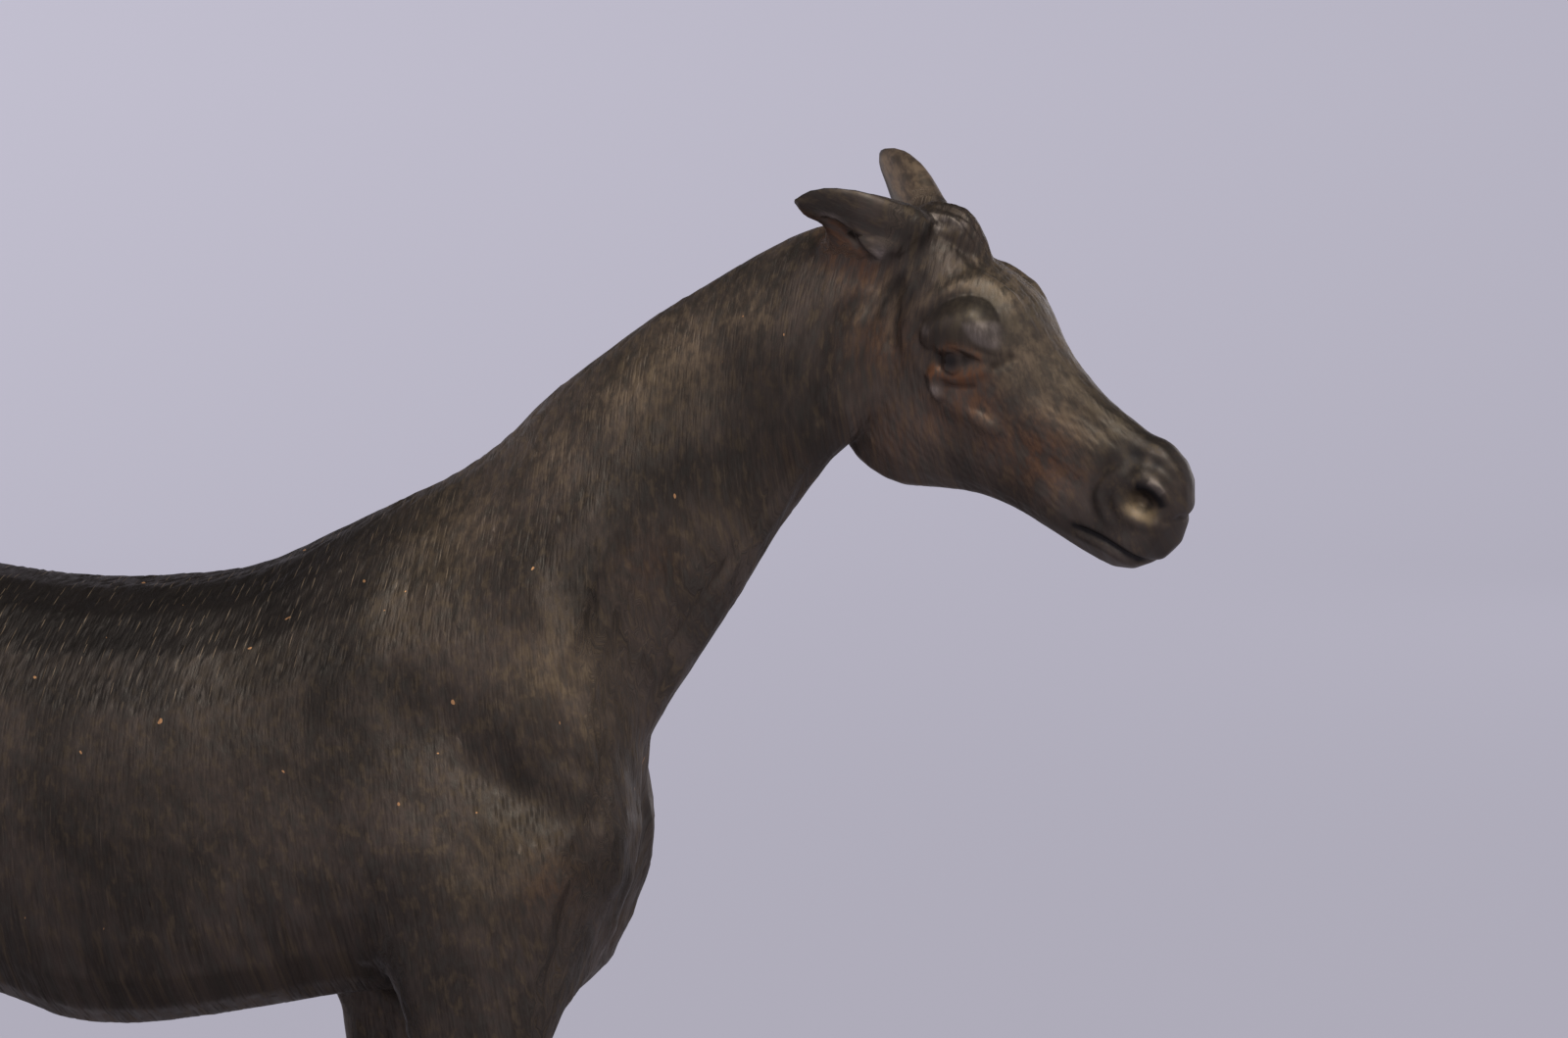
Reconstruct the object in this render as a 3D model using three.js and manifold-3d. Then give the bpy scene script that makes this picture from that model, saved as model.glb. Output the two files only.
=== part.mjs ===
// A patinated bronze horse, about 30 cm tall, standing on a low bronze plinth.
// Millimetres: +X towards the muzzle, +Y to the horse's left, +Z up.
// The origin is the middle of the plinth's underside.

import * as THREE from "three";
import { mergeVertices } from "three/addons/utils/BufferGeometryUtils.js";
import Module from "manifold-3d";

const wasm = await Module();
wasm.setup();

// Driving dimensions

const PLINTH = { length: 236, width: 84, height: 12, corner: 7, bevel: 1.2 };

// Where the skull joins the neck, above the soles, and how the head is carried:
// the nose slopes down, and the face is turned and leant a little to the right.
const POLL = new THREE.Vector3(163, -3, 268);
const HEAD_SLOPE = THREE.MathUtils.degToRad(45.8);
const HEAD_TURN = THREE.MathUtils.degToRad(-16);
const HEAD_LEAN = THREE.MathUtils.degToRad(8);

// Each leg's place: its axis in front of the origin, how far it steps forward of
// that axis at the sole, the height of the pivot it swings about, and how far the
// hoof is set forward of the leg's end.
const FORELEG = {
  pivot: 165, hoofForward: 0, near: { axis: 76, step: 1 }, far: { axis: 62, step: -24 },
};
const HINDLEG = {
  pivot: 172, hoofForward: 1, near: { axis: -93, step: -14 }, far: { axis: -93, step: 22 },
};

// A cross-section of a form runs from `top` to `under` along the form's middle
// line, each an [x, z] point. It is `half` wide to each side at `level`, which is
// 0 at `under` and 1 at `top`. `roof` and `keel` shape the curve above and below
// that level: 1 is an ellipse, less is squarer, more is leaner. `side` shifts it in Y.
function section({ top, under, half, level = 0.5, roof = 1, keel = 1, side = 0 }) {
  return [...top, ...under, half, level, roof, keel, side];
}

// Distances along the middles of the sections, which space the rings of a form.
function knotsOf(rows) {
  const middle = (row) => new THREE.Vector2((row[0] + row[2]) / 2, (row[1] + row[3]) / 2);
  const knots = [0];
  for (let i = 1; i < rows.length; i++) {
    knots.push(knots[i - 1] + middle(rows[i]).distanceTo(middle(rows[i - 1])));
  }
  return knots;
}

// The section at distance `at`, on a smooth cubic through all of the sections.
function sectionAt(rows, knots, at) {
  const last = rows.length - 1;
  let i = 0;
  while (i < last - 1 && at > knots[i + 1]) i++;
  const span = knots[i + 1] - knots[i];
  const t = (at - knots[i]) / span;
  const slope = (j, k) => {
    const before = Math.max(j - 1, 0);
    const after = Math.min(j + 1, last);
    return (rows[after][k] - rows[before][k]) / (knots[after] - knots[before]);
  };
  return rows[i].map((value, k) => {
    const next = rows[i + 1][k];
    const rise = next - value;
    const out = slope(i, k) * span;
    const into = slope(i + 1, k) * span;
    return value + t * (out + t * (3 * rise - 2 * out - into + t * (out + into - 2 * rise)));
  });
}

// The point of a section at `turn` round it: 0 at the top, a quarter on the left.
// `sunk` is how far inside the section's outline it lies, in parts of the half width.
function pointOf(row, turn, sunk) {
  const [topX, topZ, underX, underZ, half, level, roof, keel, side] = row;
  const rise = Math.cos(turn) * (1 - sunk);
  const across = Math.sin(turn) * (1 - sunk);
  const up = rise > 0 ? level + (1 - level) * rise : level + level * rise;
  const width = Math.sign(across) * Math.abs(across) ** (rise > 0 ? roof : keel);
  return new THREE.Vector3(
    underX + (topX - underX) * up,
    side + half * width,
    underZ + (topZ - underZ) * up,
  );
}

// A closed skin over the sections, with `rings` steps along and `sides` points round.
// `groove` sinks every second point, which runs furrows along the form.
function loft(sections, rings, sides, groove = 0) {
  const rows = sections.map(section);
  const knots = knotsOf(rows);
  const positions = [];
  const index = [];
  for (let r = 0; r <= rings; r++) {
    const row = sectionAt(rows, knots, (knots.at(-1) * r) / rings);
    for (let k = 0; k < sides; k++) {
      positions.push(...pointOf(row, (2 * Math.PI * k) / sides, k % 2 ? groove : 0));
    }
  }
  for (let r = 0; r < rings; r++) {
    for (let k = 0; k < sides; k++) {
      const a = r * sides + k;
      const b = r * sides + ((k + 1) % sides);
      index.push(a, a + sides, b, b, a + sides, b + sides);
    }
  }
  for (const [ring, facing] of [[0, -1], [rings, 1]]) {
    const centre = positions.length / 3;
    const middle = new THREE.Vector3();
    for (let k = 0; k < sides; k++) {
      middle.add(new THREE.Vector3().fromArray(positions, 3 * (ring * sides + k)));
    }
    positions.push(...middle.divideScalar(sides));
    for (let k = 0; k < sides; k++) {
      const a = ring * sides + k;
      const b = ring * sides + ((k + 1) % sides);
      index.push(...(facing < 0 ? [centre, a, b] : [centre, b, a]));
    }
  }
  const geometry = new THREE.BufferGeometry();
  geometry.setAttribute("position", new THREE.Float32BufferAttribute(positions, 3));
  geometry.setIndex(index);
  return geometry;
}

// A stretched ball with its middle at `at` and half-axes `radii`, tipped about Y.
const BALL_SIDES = 11;
const BALL_RINGS = 8;

function ball(at, radii, tip = 0) {
  return new THREE.SphereGeometry(1, BALL_SIDES, BALL_RINGS)
    .scale(...radii)
    .rotateY(tip)
    .translate(...at);
}

// Joining and cutting

function solidOf(geometry) {
  const bare = geometry.clone();
  bare.deleteAttribute("normal");
  bare.deleteAttribute("uv");
  const merged = mergeVertices(bare, 1e-4);
  return new wasm.Manifold(
    new wasm.Mesh({
      numProp: 3,
      vertProperties: new Float32Array(merged.attributes.position.array),
      triVerts: new Uint32Array(merged.index.array),
    }),
  );
}

function geometryOf(solid) {
  const { vertProperties, triVerts } = solid.getMesh();
  const geometry = new THREE.BufferGeometry();
  geometry.setAttribute("position", new THREE.BufferAttribute(vertProperties, 3));
  geometry.setIndex(new THREE.BufferAttribute(triVerts, 1));
  return geometry;
}

// Slivers left where forms cross are taken out as far as the skin moves by no more
// than this: coarsely where the seam is eased afterwards, finely where it stays.
const SLIVER = { eased: 0.35, kept: 0.08 };

const join = (geometries) => geometries.map(solidOf).reduce((all, one) => all.add(one));

// Body and neck, in one sweep from the buttocks to the poll

const bodySections = [
  { top: [-103, 172.5], under: [-102.5, 158.5], half: 5, level: 0.5 },
  { top: [-99, 183.5], under: [-101, 148.5], half: 13, level: 0.55 },
  { top: [-91, 192.5], under: [-93, 140], half: 22, level: 0.58, roof: 0.9 },
  { top: [-79, 200], under: [-79, 131.5], half: 28.6, level: 0.6, roof: 0.88, keel: 1.1 },
  { top: [-64, 204], under: [-63, 124], half: 32, level: 0.6, roof: 0.88, keel: 1.1 },
  { top: [-46, 203], under: [-44, 115.5], half: 32.8, level: 0.56, roof: 0.92 },
  { top: [-26, 199.5], under: [-27, 108], half: 34.5, level: 0.52, roof: 0.95 },
  { top: [-7.5, 197.5], under: [-8.5, 104], half: 36.5, level: 0.48, roof: 0.95 },
  { top: [11.5, 198], under: [10.5, 104.5], half: 36.5, level: 0.46, roof: 0.98 },
  { top: [28, 200.5], under: [29.5, 108], half: 34.5, level: 0.43, roof: 1.08 },
  { top: [44.5, 208], under: [48, 110.5], half: 32, level: 0.42, roof: 1.2, keel: 0.92 },
  { top: [58, 214.5], under: [68.5, 110.5], half: 30.5, level: 0.4, roof: 1.26, keel: 0.85 },
  { top: [68.5, 219.5], under: [91.5, 109], half: 29.5, level: 0.38, roof: 1.26, keel: 0.8 },
  { top: [78.5, 226.5], under: [103, 119], half: 27.5, level: 0.38, roof: 1.24, keel: 0.78 },
  { top: [87, 235], under: [108.5, 136.5], half: 24.5, level: 0.36, roof: 1.2, keel: 0.78 },
  { top: [95.5, 241.5], under: [108, 153], half: 20.5, level: 0.38, roof: 1.14, keel: 0.82 },
  { top: [103.5, 247.5], under: [112.5, 167.5], half: 17, level: 0.42, roof: 1.1, keel: 0.86 },
  { top: [111.5, 253], under: [119, 178.5], half: 14.6, level: 0.46, roof: 1.1, keel: 0.9 },
  { top: [122, 259], under: [127.5, 192], half: 13, level: 0.5, roof: 1.1, keel: 0.92 },
  { top: [132, 265], under: [135, 206], half: 12, level: 0.52, roof: 1.08, side: -0.6 },
  { top: [142, 269.5], under: [142, 217.5], half: 11.4, level: 0.54, roof: 1.04, side: -1.4 },
  { top: [152, 271.5], under: [149, 225.5], half: 10.8, level: 0.56, side: -2.4 },
  { top: [163, 269], under: [160, 233], half: 8, level: 0.56, side: -3.2 },
];

// Head, along its own axis from the poll: x runs to the muzzle and z to the forehead

const headSections = [
  { top: [-6, 2.4], under: [-6, -9], half: 6.5, level: 0.55 },
  { top: [-1, 7], under: [-1, -16], half: 9.2, level: 0.6 },
  { top: [6, 8.4], under: [5, -27], half: 11, level: 0.68, keel: 0.85 },
  { top: [13, 7.8], under: [12.6, -37], half: 12, level: 0.74, keel: 0.75 },
  { top: [20, 9], under: [19.6, -41.6], half: 13, level: 0.78, roof: 0.9, keel: 0.68 },
  { top: [26.5, 9.4], under: [26.2, -42], half: 13.2, level: 0.79, roof: 0.86, keel: 0.7 },
  { top: [32.4, 7.8], under: [32.8, -39.8], half: 12, level: 0.76, roof: 0.84, keel: 0.78 },
  { top: [38.6, 6], under: [39, -34.2], half: 10.4, level: 0.7, roof: 0.84, keel: 0.85 },
  { top: [45.4, 5.2], under: [45.6, -28.8], half: 8.8, level: 0.64, roof: 0.84, keel: 0.9 },
  { top: [52.4, 5.2], under: [53, -25.2], half: 7.6, level: 0.58, roof: 0.86, keel: 0.9 },
  { top: [59.6, 6.4], under: [60.6, -23], half: 7.2, level: 0.52, roof: 0.88, keel: 0.9 },
  { top: [66, 8], under: [67.4, -21.2], half: 7.8, level: 0.5, roof: 0.86, keel: 0.9 },
  { top: [71.6, 7.8], under: [73, -19.4], half: 8.2, level: 0.5, roof: 0.84, keel: 0.9 },
  { top: [76.2, 4.8], under: [77.4, -17.2], half: 7.8, level: 0.5, roof: 0.8, keel: 0.9 },
  { top: [79.4, 0.4], under: [80, -13.6], half: 6.2, level: 0.5, roof: 0.85 },
  { top: [81.6, -4.6], under: [81.6, -9.6], half: 3, level: 0.5 },
];

// Eyes, nostrils and mouth, in the head's own frame, for the left side
const EYE = { at: [25, 10.4, -5.4], ball: 4, slope: -0.5 };
const EYELID = {
  at: [23.4, 11, -1], radii: [8, 3.9, 4.6], under: [26, 11.2, -9.4], fold: [5.6, 2.4, 1.6],
};
const NOSTRIL = {
  at: [70, 6.6, -1.6], rim: [6.4, 2.8, 6], holeAt: [70, 9.4, -1.6], hole: [3, 3.6, 3.2],
};
const CHEEK_CREST = { at: [33.5, 9.6, -13.6], radii: [8.5, 2.1, 2], slope: -0.12 };
const MOUTH = { from: [64.3, -16.3], to: [84, -9.6], gape: 0.8, inner: 4.6, outer: 16.6 };

// The short tuft of hair that lies forward over the poll, parted into locks
const TUFT_FURROW = 0.1;
const tuftSections = [
  { top: [-3, 7.4], under: [-2.4, 1], half: 4.2 },
  { top: [1.2, 10.4], under: [1.6, 1], half: 6 },
  { top: [4.6, 11.8], under: [5, 1], half: 6.6 },
  { top: [8, 11.2], under: [8, 1.6], half: 6 },
  { top: [11.4, 9.9], under: [11.2, 2.4], half: 4.6 },
  { top: [15, 8.4], under: [14.4, 4], half: 2.4 },
];

const onBothSides = (make) => [-1, 1].map(make);
const toSide = ([x, y, z], side) => [x, y * side, z];

function faceDetails() {
  const raised = onBothSides((side) => [
    ball(toSide(EYE.at, side), Array(3).fill(EYE.ball)),
    ball(toSide(EYELID.at, side), EYELID.radii, EYE.slope),
    ball(toSide(EYELID.under, side), EYELID.fold, EYE.slope),
    ball(toSide(NOSTRIL.at, side), NOSTRIL.rim),
    ball(toSide(CHEEK_CREST.at, side), CHEEK_CREST.radii, CHEEK_CREST.slope),
  ]).flat();
  const sunk = onBothSides((side) => [
    ball(toSide(NOSTRIL.holeAt, side), NOSTRIL.hole),
    mouthCut(side),
  ]).flat();
  return { raised, sunk };
}

// A thin slab along the parting of the lips, reaching in from one side.
function mouthCut(side) {
  const [fromX, fromZ] = MOUTH.from;
  const [toX, toZ] = MOUTH.to;
  const length = Math.hypot(toX - fromX, toZ - fromZ);
  const middleY = side * (MOUTH.inner + MOUTH.outer) / 2;
  return new THREE.BoxGeometry(length, MOUTH.outer - MOUTH.inner, MOUTH.gape)
    .rotateY(-Math.atan2(toZ - fromZ, toX - fromX))
    .translate((fromX + toX) / 2, middleY, (fromZ + toZ) / 2);
}

// From the head's own frame to the standing horse's.
const headPlace = new THREE.Matrix4()
  .makeTranslation(POLL)
  .multiply(new THREE.Matrix4().makeRotationZ(HEAD_TURN))
  .multiply(new THREE.Matrix4().makeRotationX(HEAD_LEAN))
  .multiply(new THREE.Matrix4().makeRotationY(HEAD_SLOPE));

const skull = () => solidOf(loft(headSections, 28, 20).applyMatrix4(headPlace));

// The face's small forms, modelled on a head that is already joined to the neck.
function withFace(solid) {
  const { raised, sunk } = faceDetails();
  const inPlace = (geometry) => geometry.applyMatrix4(headPlace);
  const tuft = loft(tuftSections, 10, 14, TUFT_FURROW);
  return solid.add(join([tuft, ...raised].map(inPlace))).subtract(join(sunk.map(inPlace)));
}

// Ears: leaves with a cupped side. x runs from root to tip, z across the leaf,
// and the cup opens towards +y.

const EAR_LENGTH = 24;
const earSections = [
  { top: [-4, 4.6], under: [-4, -4.6], half: 4 },
  { top: [0, 5.8], under: [0, -5.6], half: 4.4 },
  { top: [0.2 * EAR_LENGTH, 6.8], under: [0.2 * EAR_LENGTH, -6.2], half: 4.2 },
  { top: [0.42 * EAR_LENGTH, 7.2], under: [0.42 * EAR_LENGTH, -6.6], half: 3.6 },
  { top: [0.64 * EAR_LENGTH, 6.6], under: [0.64 * EAR_LENGTH, -5.8], half: 2.8 },
  { top: [0.84 * EAR_LENGTH, 4.8], under: [0.84 * EAR_LENGTH, -4], half: 1.9 },
  { top: [0.96 * EAR_LENGTH, 2.4], under: [0.96 * EAR_LENGTH, -1.7], half: 1.1 },
  { top: [EAR_LENGTH, 0.9], under: [EAR_LENGTH, -0.7], half: 0.5 },
];
const EAR_CUP = { at: [0.48 * EAR_LENGTH, 4.2, 0], radii: [0.4 * EAR_LENGTH, 4.2, 4.7] };

const EARS = [
  { root: [-0.6, -8, 2.4], along: [-0.95, -0.2, 0.27], cupTowards: [0.1, -0.74, -0.66] },
  { root: [-1, 8.2, 1], along: [-0.46, 0.62, 0.62], cupTowards: [0.55, 0.83, 0] },
];

function earSolid({ root, along, cupTowards }) {
  const x = new THREE.Vector3(...along).normalize();
  const z = x.clone().cross(new THREE.Vector3(...cupTowards)).normalize();
  const y = z.clone().cross(x);
  const place = new THREE.Matrix4()
    .makeBasis(x, y, z)
    .setPosition(new THREE.Vector3(...root).applyMatrix4(headPlace));
  const leaf = loft(earSections, 11, 12).applyMatrix4(place);
  const cup = ball(EAR_CUP.at, EAR_CUP.radii).applyMatrix4(place);
  return solidOf(leaf).subtract(solidOf(cup));
}

// Legs: height above the sole, edges in front of and behind the leg's axis, half
// the width, and the distance of the axis from the horse's middle plane

const foreleg = [
  { z: 170, front: 12, back: -20, half: 6, side: 14 },
  { z: 157, front: 24, back: -26, half: 10, side: 17.5 },
  { z: 143, front: 29, back: -26, half: 13, side: 19.5 },
  { z: 128, front: 26, back: -24, half: 12.6, side: 20 },
  { z: 114, front: 20, back: -19.5, half: 11, side: 20 },
  { z: 104, front: 14.6, back: -14.6, half: 9.6, side: 19.4 },
  { z: 94, front: 11.4, back: -11.2, half: 8.2, side: 18.6 },
  { z: 82, front: 8.6, back: -8.2, half: 6.5, side: 17.8 },
  { z: 72, front: 7.2, back: -6.6, half: 5.9, side: 17.2 },
  { z: 63, front: 7.2, back: -6.6, half: 6.3, side: 16.8 },
  { z: 54, front: 5.4, back: -5.6, half: 4.9, side: 16.4 },
  { z: 42, front: 4.5, back: -5.1, half: 3.7, side: 16 },
  { z: 33, front: 4.6, back: -5.4, half: 3.9, side: 15.8 },
  { z: 26, front: 6, back: -6.6, half: 5.1, side: 15.6 },
  { z: 18, front: 8.8, back: -1.4, half: 4.3, side: 15.4 },
  { z: 8, front: 12, back: 3, half: 5, side: 15.2 },
];

const hindleg = [
  { z: 186, front: 42, back: 8, half: 7, side: 12 },
  { z: 174, front: 52, back: -4, half: 13, side: 15 },
  { z: 160, front: 61, back: -9, half: 17, side: 17.6 },
  { z: 144, front: 66, back: -7.4, half: 16.4, side: 18.8 },
  { z: 130, front: 62, back: -2, half: 14.4, side: 19.4 },
  { z: 116, front: 49, back: 2.6, half: 12, side: 19.6 },
  { z: 104, front: 35, back: 3.4, half: 10, side: 19 },
  { z: 94, front: 23.6, back: -1, half: 8.2, side: 18.4 },
  { z: 86, front: 14.6, back: -7.4, half: 6.8, side: 17.8 },
  { z: 78, front: 9.6, back: -10.8, half: 6.4, side: 17.4 },
  { z: 70, front: 8, back: -9, half: 6.3, side: 17 },
  { z: 60, front: 6.6, back: -5.6, half: 5.2, side: 16.6 },
  { z: 46, front: 5.2, back: -4.6, half: 4.1, side: 16.2 },
  { z: 34, front: 5.4, back: -5, half: 4.2, side: 16 },
  { z: 26, front: 7, back: -6, half: 5.3, side: 15.8 },
  { z: 18, front: 10, back: -0.6, half: 4.6, side: 15.6 },
  { z: 8, front: 13.2, back: 4, half: 5.2, side: 15.4 },
];

const hoof = [
  { z: 13.2, front: 12.2, back: 1.6, half: 5.4, side: 15.3 },
  { z: 11.8, front: 13.6, back: 0.6, half: 6.4, side: 15.3 },
  { z: 7, front: 16.8, back: -0.4, half: 7.2, side: 15.3 },
  { z: 0, front: 20.6, back: -0.6, half: 8.2, side: 15.3 },
];

// Stands a leg's rows on its axis, swung about its pivot so that the sole steps out.
function standing(rows, { axis, step }, pivot, hand) {
  return rows.map(({ z, front, back, half, side }) => {
    const swing = axis + step * Math.max(0, 1 - z / pivot);
    return { top: [swing + front, z], under: [swing + back, z], half, side: hand * side };
  });
}

const limb = (rows, { pivot }, place, hand) => (
  solidOf(loft(standing(rows, place, pivot, hand), 25, 14))
);

function hoofSolid({ pivot, hoofForward }, { axis, step }, hand) {
  const under = { axis: axis + step + hoofForward, step: 0 };
  return solidOf(loft(standing(hoof, under, pivot, hand), 4, 14));
}

// Tail, hanging from the dock to a point below the hocks: `top` is its front edge.
// Its locks are parted by furrows this deep, in parts of its half width.
const TAIL_FURROW = 0.13;

const tailSections = [
  { top: [-88, 181], under: [-88, 190], half: 4 },
  { top: [-97, 177], under: [-99.5, 188], half: 6 },
  { top: [-99, 169], under: [-108, 178], half: 6.8 },
  { top: [-100, 157], under: [-112, 162], half: 7.4 },
  { top: [-101, 142], under: [-113.6, 144], half: 7.6 },
  { top: [-102, 122], under: [-114, 122], half: 7.2 },
  { top: [-103.4, 102], under: [-114, 100], half: 6.4 },
  { top: [-105.6, 84], under: [-114, 82], half: 4.8 },
  { top: [-109.6, 69], under: [-113, 68], half: 1.6 },
];

// Muscles and hollows: each lifts or sinks the skin by `lift` round `at`, fading
// over `reach` along the body, across it and upwards, the same on both sides.
const FORMS = [
  { name: "point of shoulder", at: [104, 22, 147], reach: [9, 10, 12], lift: 2.4 },
  { name: "upper arm", at: [88, 28, 138], reach: [14, 14, 12], lift: 2.2 },
  { name: "hollow over the arm", at: [92, 26, 163], reach: [9, 12, 8], lift: -2 },
  { name: "shoulder blade front", at: [86, 24, 182], reach: [7, 14, 18], lift: 1.8 },
  { name: "shoulder blade back", at: [58, 26, 176], reach: [9, 14, 22], lift: 1.4 },
  { name: "long head of the arm", at: [62, 30, 142], reach: [14, 12, 14], lift: 2 },
  { name: "girth hollow", at: [44, 30, 122], reach: [8, 16, 16], lift: -2 },
  { name: "breast furrow", at: [112, 0, 136], reach: [14, 5, 20], lift: -2.6 },
  { name: "gullet furrow", at: [122, 12, 206], reach: [20, 8, 10], lift: -1.2 },
  { name: "flank hollow", at: [-38, 34, 170], reach: [10, 14, 14], lift: -2.2 },
  { name: "point of hip", at: [-52, 28, 194], reach: [8, 10, 7], lift: 2 },
  { name: "haunch", at: [-78, 32, 166], reach: [16, 14, 18], lift: 1.8 },
  { name: "rump furrow", at: [-86, 0, 206], reach: [22, 4, 14], lift: -1.2 },
];

function modelled(solid) {
  const geometry = geometryOf(solid);
  geometry.computeVertexNormals();
  const { position, normal } = geometry.attributes;
  for (let i = 0; i < position.count; i++) {
    const point = new THREE.Vector3().fromBufferAttribute(position, i);
    const outward = new THREE.Vector3().fromBufferAttribute(normal, i);
    let lift = 0;
    for (const form of FORMS) {
      const across = (Math.abs(point.y) - form.at[1]) / form.reach[1];
      const along = (point.x - form.at[0]) / form.reach[0];
      const upward = (point.z - form.at[2]) / form.reach[2];
      lift += form.lift * Math.exp(-(along ** 2 + across ** 2 + upward ** 2));
    }
    position.setXYZ(i, ...point.addScaledVector(outward, lift));
  }
  return solidOf(geometry);
}

// Which points of a mesh share an edge.
function neighboursOf(triVerts, count) {
  const neighbours = Array.from({ length: count }, () => new Set());
  for (let i = 0; i < triVerts.length; i += 3) {
    const corners = triVerts.slice(i, i + 3);
    for (const a of corners) for (const b of corners) if (a !== b) neighbours[a].add(b);
  }
  return neighbours;
}

// How strongly each point is eased: fully on a line where two forms meet, less
// with each ring of points away from it, and not at all past SEAM.rings. Every
// pass draws points to their neighbours and then part of the way back, which
// takes off the step between the forms and leaves their fullness.
const SEAM = { rings: 4, passes: 14, draw: 0.5, back: -0.47 };

function seamWeights(mesh, neighbours) {
  const formOf = new Array(neighbours.length).fill(-1);
  const weights = new Array(neighbours.length).fill(0);
  for (let run = 0; run + 1 < mesh.runIndex.length; run++) {
    for (let i = mesh.runIndex[run]; i < mesh.runIndex[run + 1]; i++) {
      const point = mesh.triVerts[i];
      if (formOf[point] >= 0 && formOf[point] !== run) weights[point] = 1;
      formOf[point] = run;
    }
  }
  for (let ring = 1; ring <= SEAM.rings; ring++) {
    const before = [...weights];
    neighbours.forEach((near, point) => {
      if (before[point] > 0) return;
      if ([...near].some((other) => before[other] > 0)) weights[point] = 1 - ring / (SEAM.rings + 1);
    });
  }
  return weights;
}

// Moves each point by `share` of the way to the middle of its neighbours.
function drawn(points, neighbours, weights, share) {
  return points.map((point, i) => {
    if (!weights[i]) return point;
    const middle = new THREE.Vector3();
    for (const other of neighbours[i]) middle.add(points[other]);
    return point.clone().lerp(middle.divideScalar(neighbours[i].size), share * weights[i]);
  });
}

// Eases the lines where the joined forms meet into one another.
function eased(solid) {
  const mesh = solid.getMesh();
  const count = mesh.vertProperties.length / 3;
  const neighbours = neighboursOf(mesh.triVerts, count);
  const weights = seamWeights(mesh, neighbours);
  let points = Array.from({ length: count }, (_, i) => (
    new THREE.Vector3().fromArray(mesh.vertProperties, 3 * i)
  ));
  for (let pass = 0; pass < SEAM.passes; pass++) {
    points = drawn(points, neighbours, weights, SEAM.draw);
    points = drawn(points, neighbours, weights, SEAM.back);
  }
  const geometry = new THREE.BufferGeometry().setFromPoints(points);
  geometry.setIndex([...mesh.triVerts]);
  return solidOf(geometry);
}

const joinAll = (solids, sliver) => (
  solids.reduce((all, one) => all.add(one)).simplify(sliver)
);

function horse() {
  const legs = [
    [foreleg, FORELEG, FORELEG.near, -1],
    [foreleg, FORELEG, FORELEG.far, 1],
    [hindleg, HINDLEG, HINDLEG.near, -1],
    [hindleg, HINDLEG, HINDLEG.far, 1],
  ];
  const masses = joinAll([
    solidOf(loft(bodySections, 41, 24)),
    ...legs.map((leg) => limb(...leg)),
    solidOf(loft(tailSections, 16, 16, TAIL_FURROW)),
  ], SLIVER.eased);
  const hooves = legs.map(([, ...leg]) => hoofSolid(...leg));
  const whole = joinAll([modelled(eased(masses)), skull(), ...hooves], SLIVER.kept);
  return geometryOf(joinAll([withFace(whole), ...EARS.map(earSolid)], SLIVER.kept));
}

// Plinth: a plain slab with rounded corners and a small bevel round its edges

function plinth() {
  const { length, width, height, corner, bevel } = PLINTH;
  const x = length / 2 - bevel;
  const y = width / 2 - bevel;
  const outline = new THREE.Shape()
    .moveTo(-x + corner, -y)
    .lineTo(x - corner, -y)
    .absarc(x - corner, -y + corner, corner, -Math.PI / 2, 0)
    .lineTo(x, y - corner)
    .absarc(x - corner, y - corner, corner, 0, Math.PI / 2)
    .lineTo(-x + corner, y)
    .absarc(-x + corner, y - corner, corner, Math.PI / 2, Math.PI)
    .lineTo(-x, -y + corner)
    .absarc(-x + corner, -y + corner, corner, Math.PI, 1.5 * Math.PI);
  return new THREE.ExtrudeGeometry(outline, {
    depth: height - 2 * bevel,
    bevelThickness: bevel,
    bevelSize: bevel,
    bevelSegments: 2,
    curveSegments: 5,
  }).translate(0, 0, bevel);
}

const darkBronze = new THREE.MeshStandardMaterial({
  name: "dark_bronze", color: 0x3a3029, roughness: 0.48, metalness: 0.85,
});
const plinthBronze = new THREE.MeshStandardMaterial({
  name: "plinth_bronze", color: 0x332c27, roughness: 0.55, metalness: 0.85,
});

const statue = new THREE.Group();
const horseMesh = new THREE.Mesh(horse(), darkBronze);
horseMesh.name = "horse";
horseMesh.position.z = PLINTH.height;
const plinthMesh = new THREE.Mesh(plinth(), plinthBronze);
plinthMesh.name = "plinth";
statue.add(horseMesh, plinthMesh);

export default statue;
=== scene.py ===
# %% [markdown]
# # A small bronze horse
#
# The object is a table bronze: a standing horse about 30 cm tall on a low plinth, cast hollow, then
# chased all over with a fine chisel and patinated dark brown. This lesson starts from the bare solids
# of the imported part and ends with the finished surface. Blender works in metres, so the whole horse
# is only 0.3 units tall.

import math

import bmesh
import bpy
import numpy as np
from mathutils import Matrix, Vector


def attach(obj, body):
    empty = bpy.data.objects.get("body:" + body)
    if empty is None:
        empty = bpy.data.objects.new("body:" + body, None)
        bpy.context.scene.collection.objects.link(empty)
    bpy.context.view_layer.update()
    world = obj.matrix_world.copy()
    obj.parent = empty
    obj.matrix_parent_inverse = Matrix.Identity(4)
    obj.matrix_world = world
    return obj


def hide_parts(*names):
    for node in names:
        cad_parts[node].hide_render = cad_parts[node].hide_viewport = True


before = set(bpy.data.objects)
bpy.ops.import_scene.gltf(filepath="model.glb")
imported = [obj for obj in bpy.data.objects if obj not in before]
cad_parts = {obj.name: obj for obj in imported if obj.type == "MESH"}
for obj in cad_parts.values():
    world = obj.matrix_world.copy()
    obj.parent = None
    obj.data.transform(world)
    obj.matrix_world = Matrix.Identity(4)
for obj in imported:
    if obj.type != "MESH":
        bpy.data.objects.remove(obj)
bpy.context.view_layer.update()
horse_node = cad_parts["horse"]
plinth_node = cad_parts["plinth"]
scene = bpy.context.scene
print("The horse's solid has", len(horse_node.data.polygons), "faces")

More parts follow.
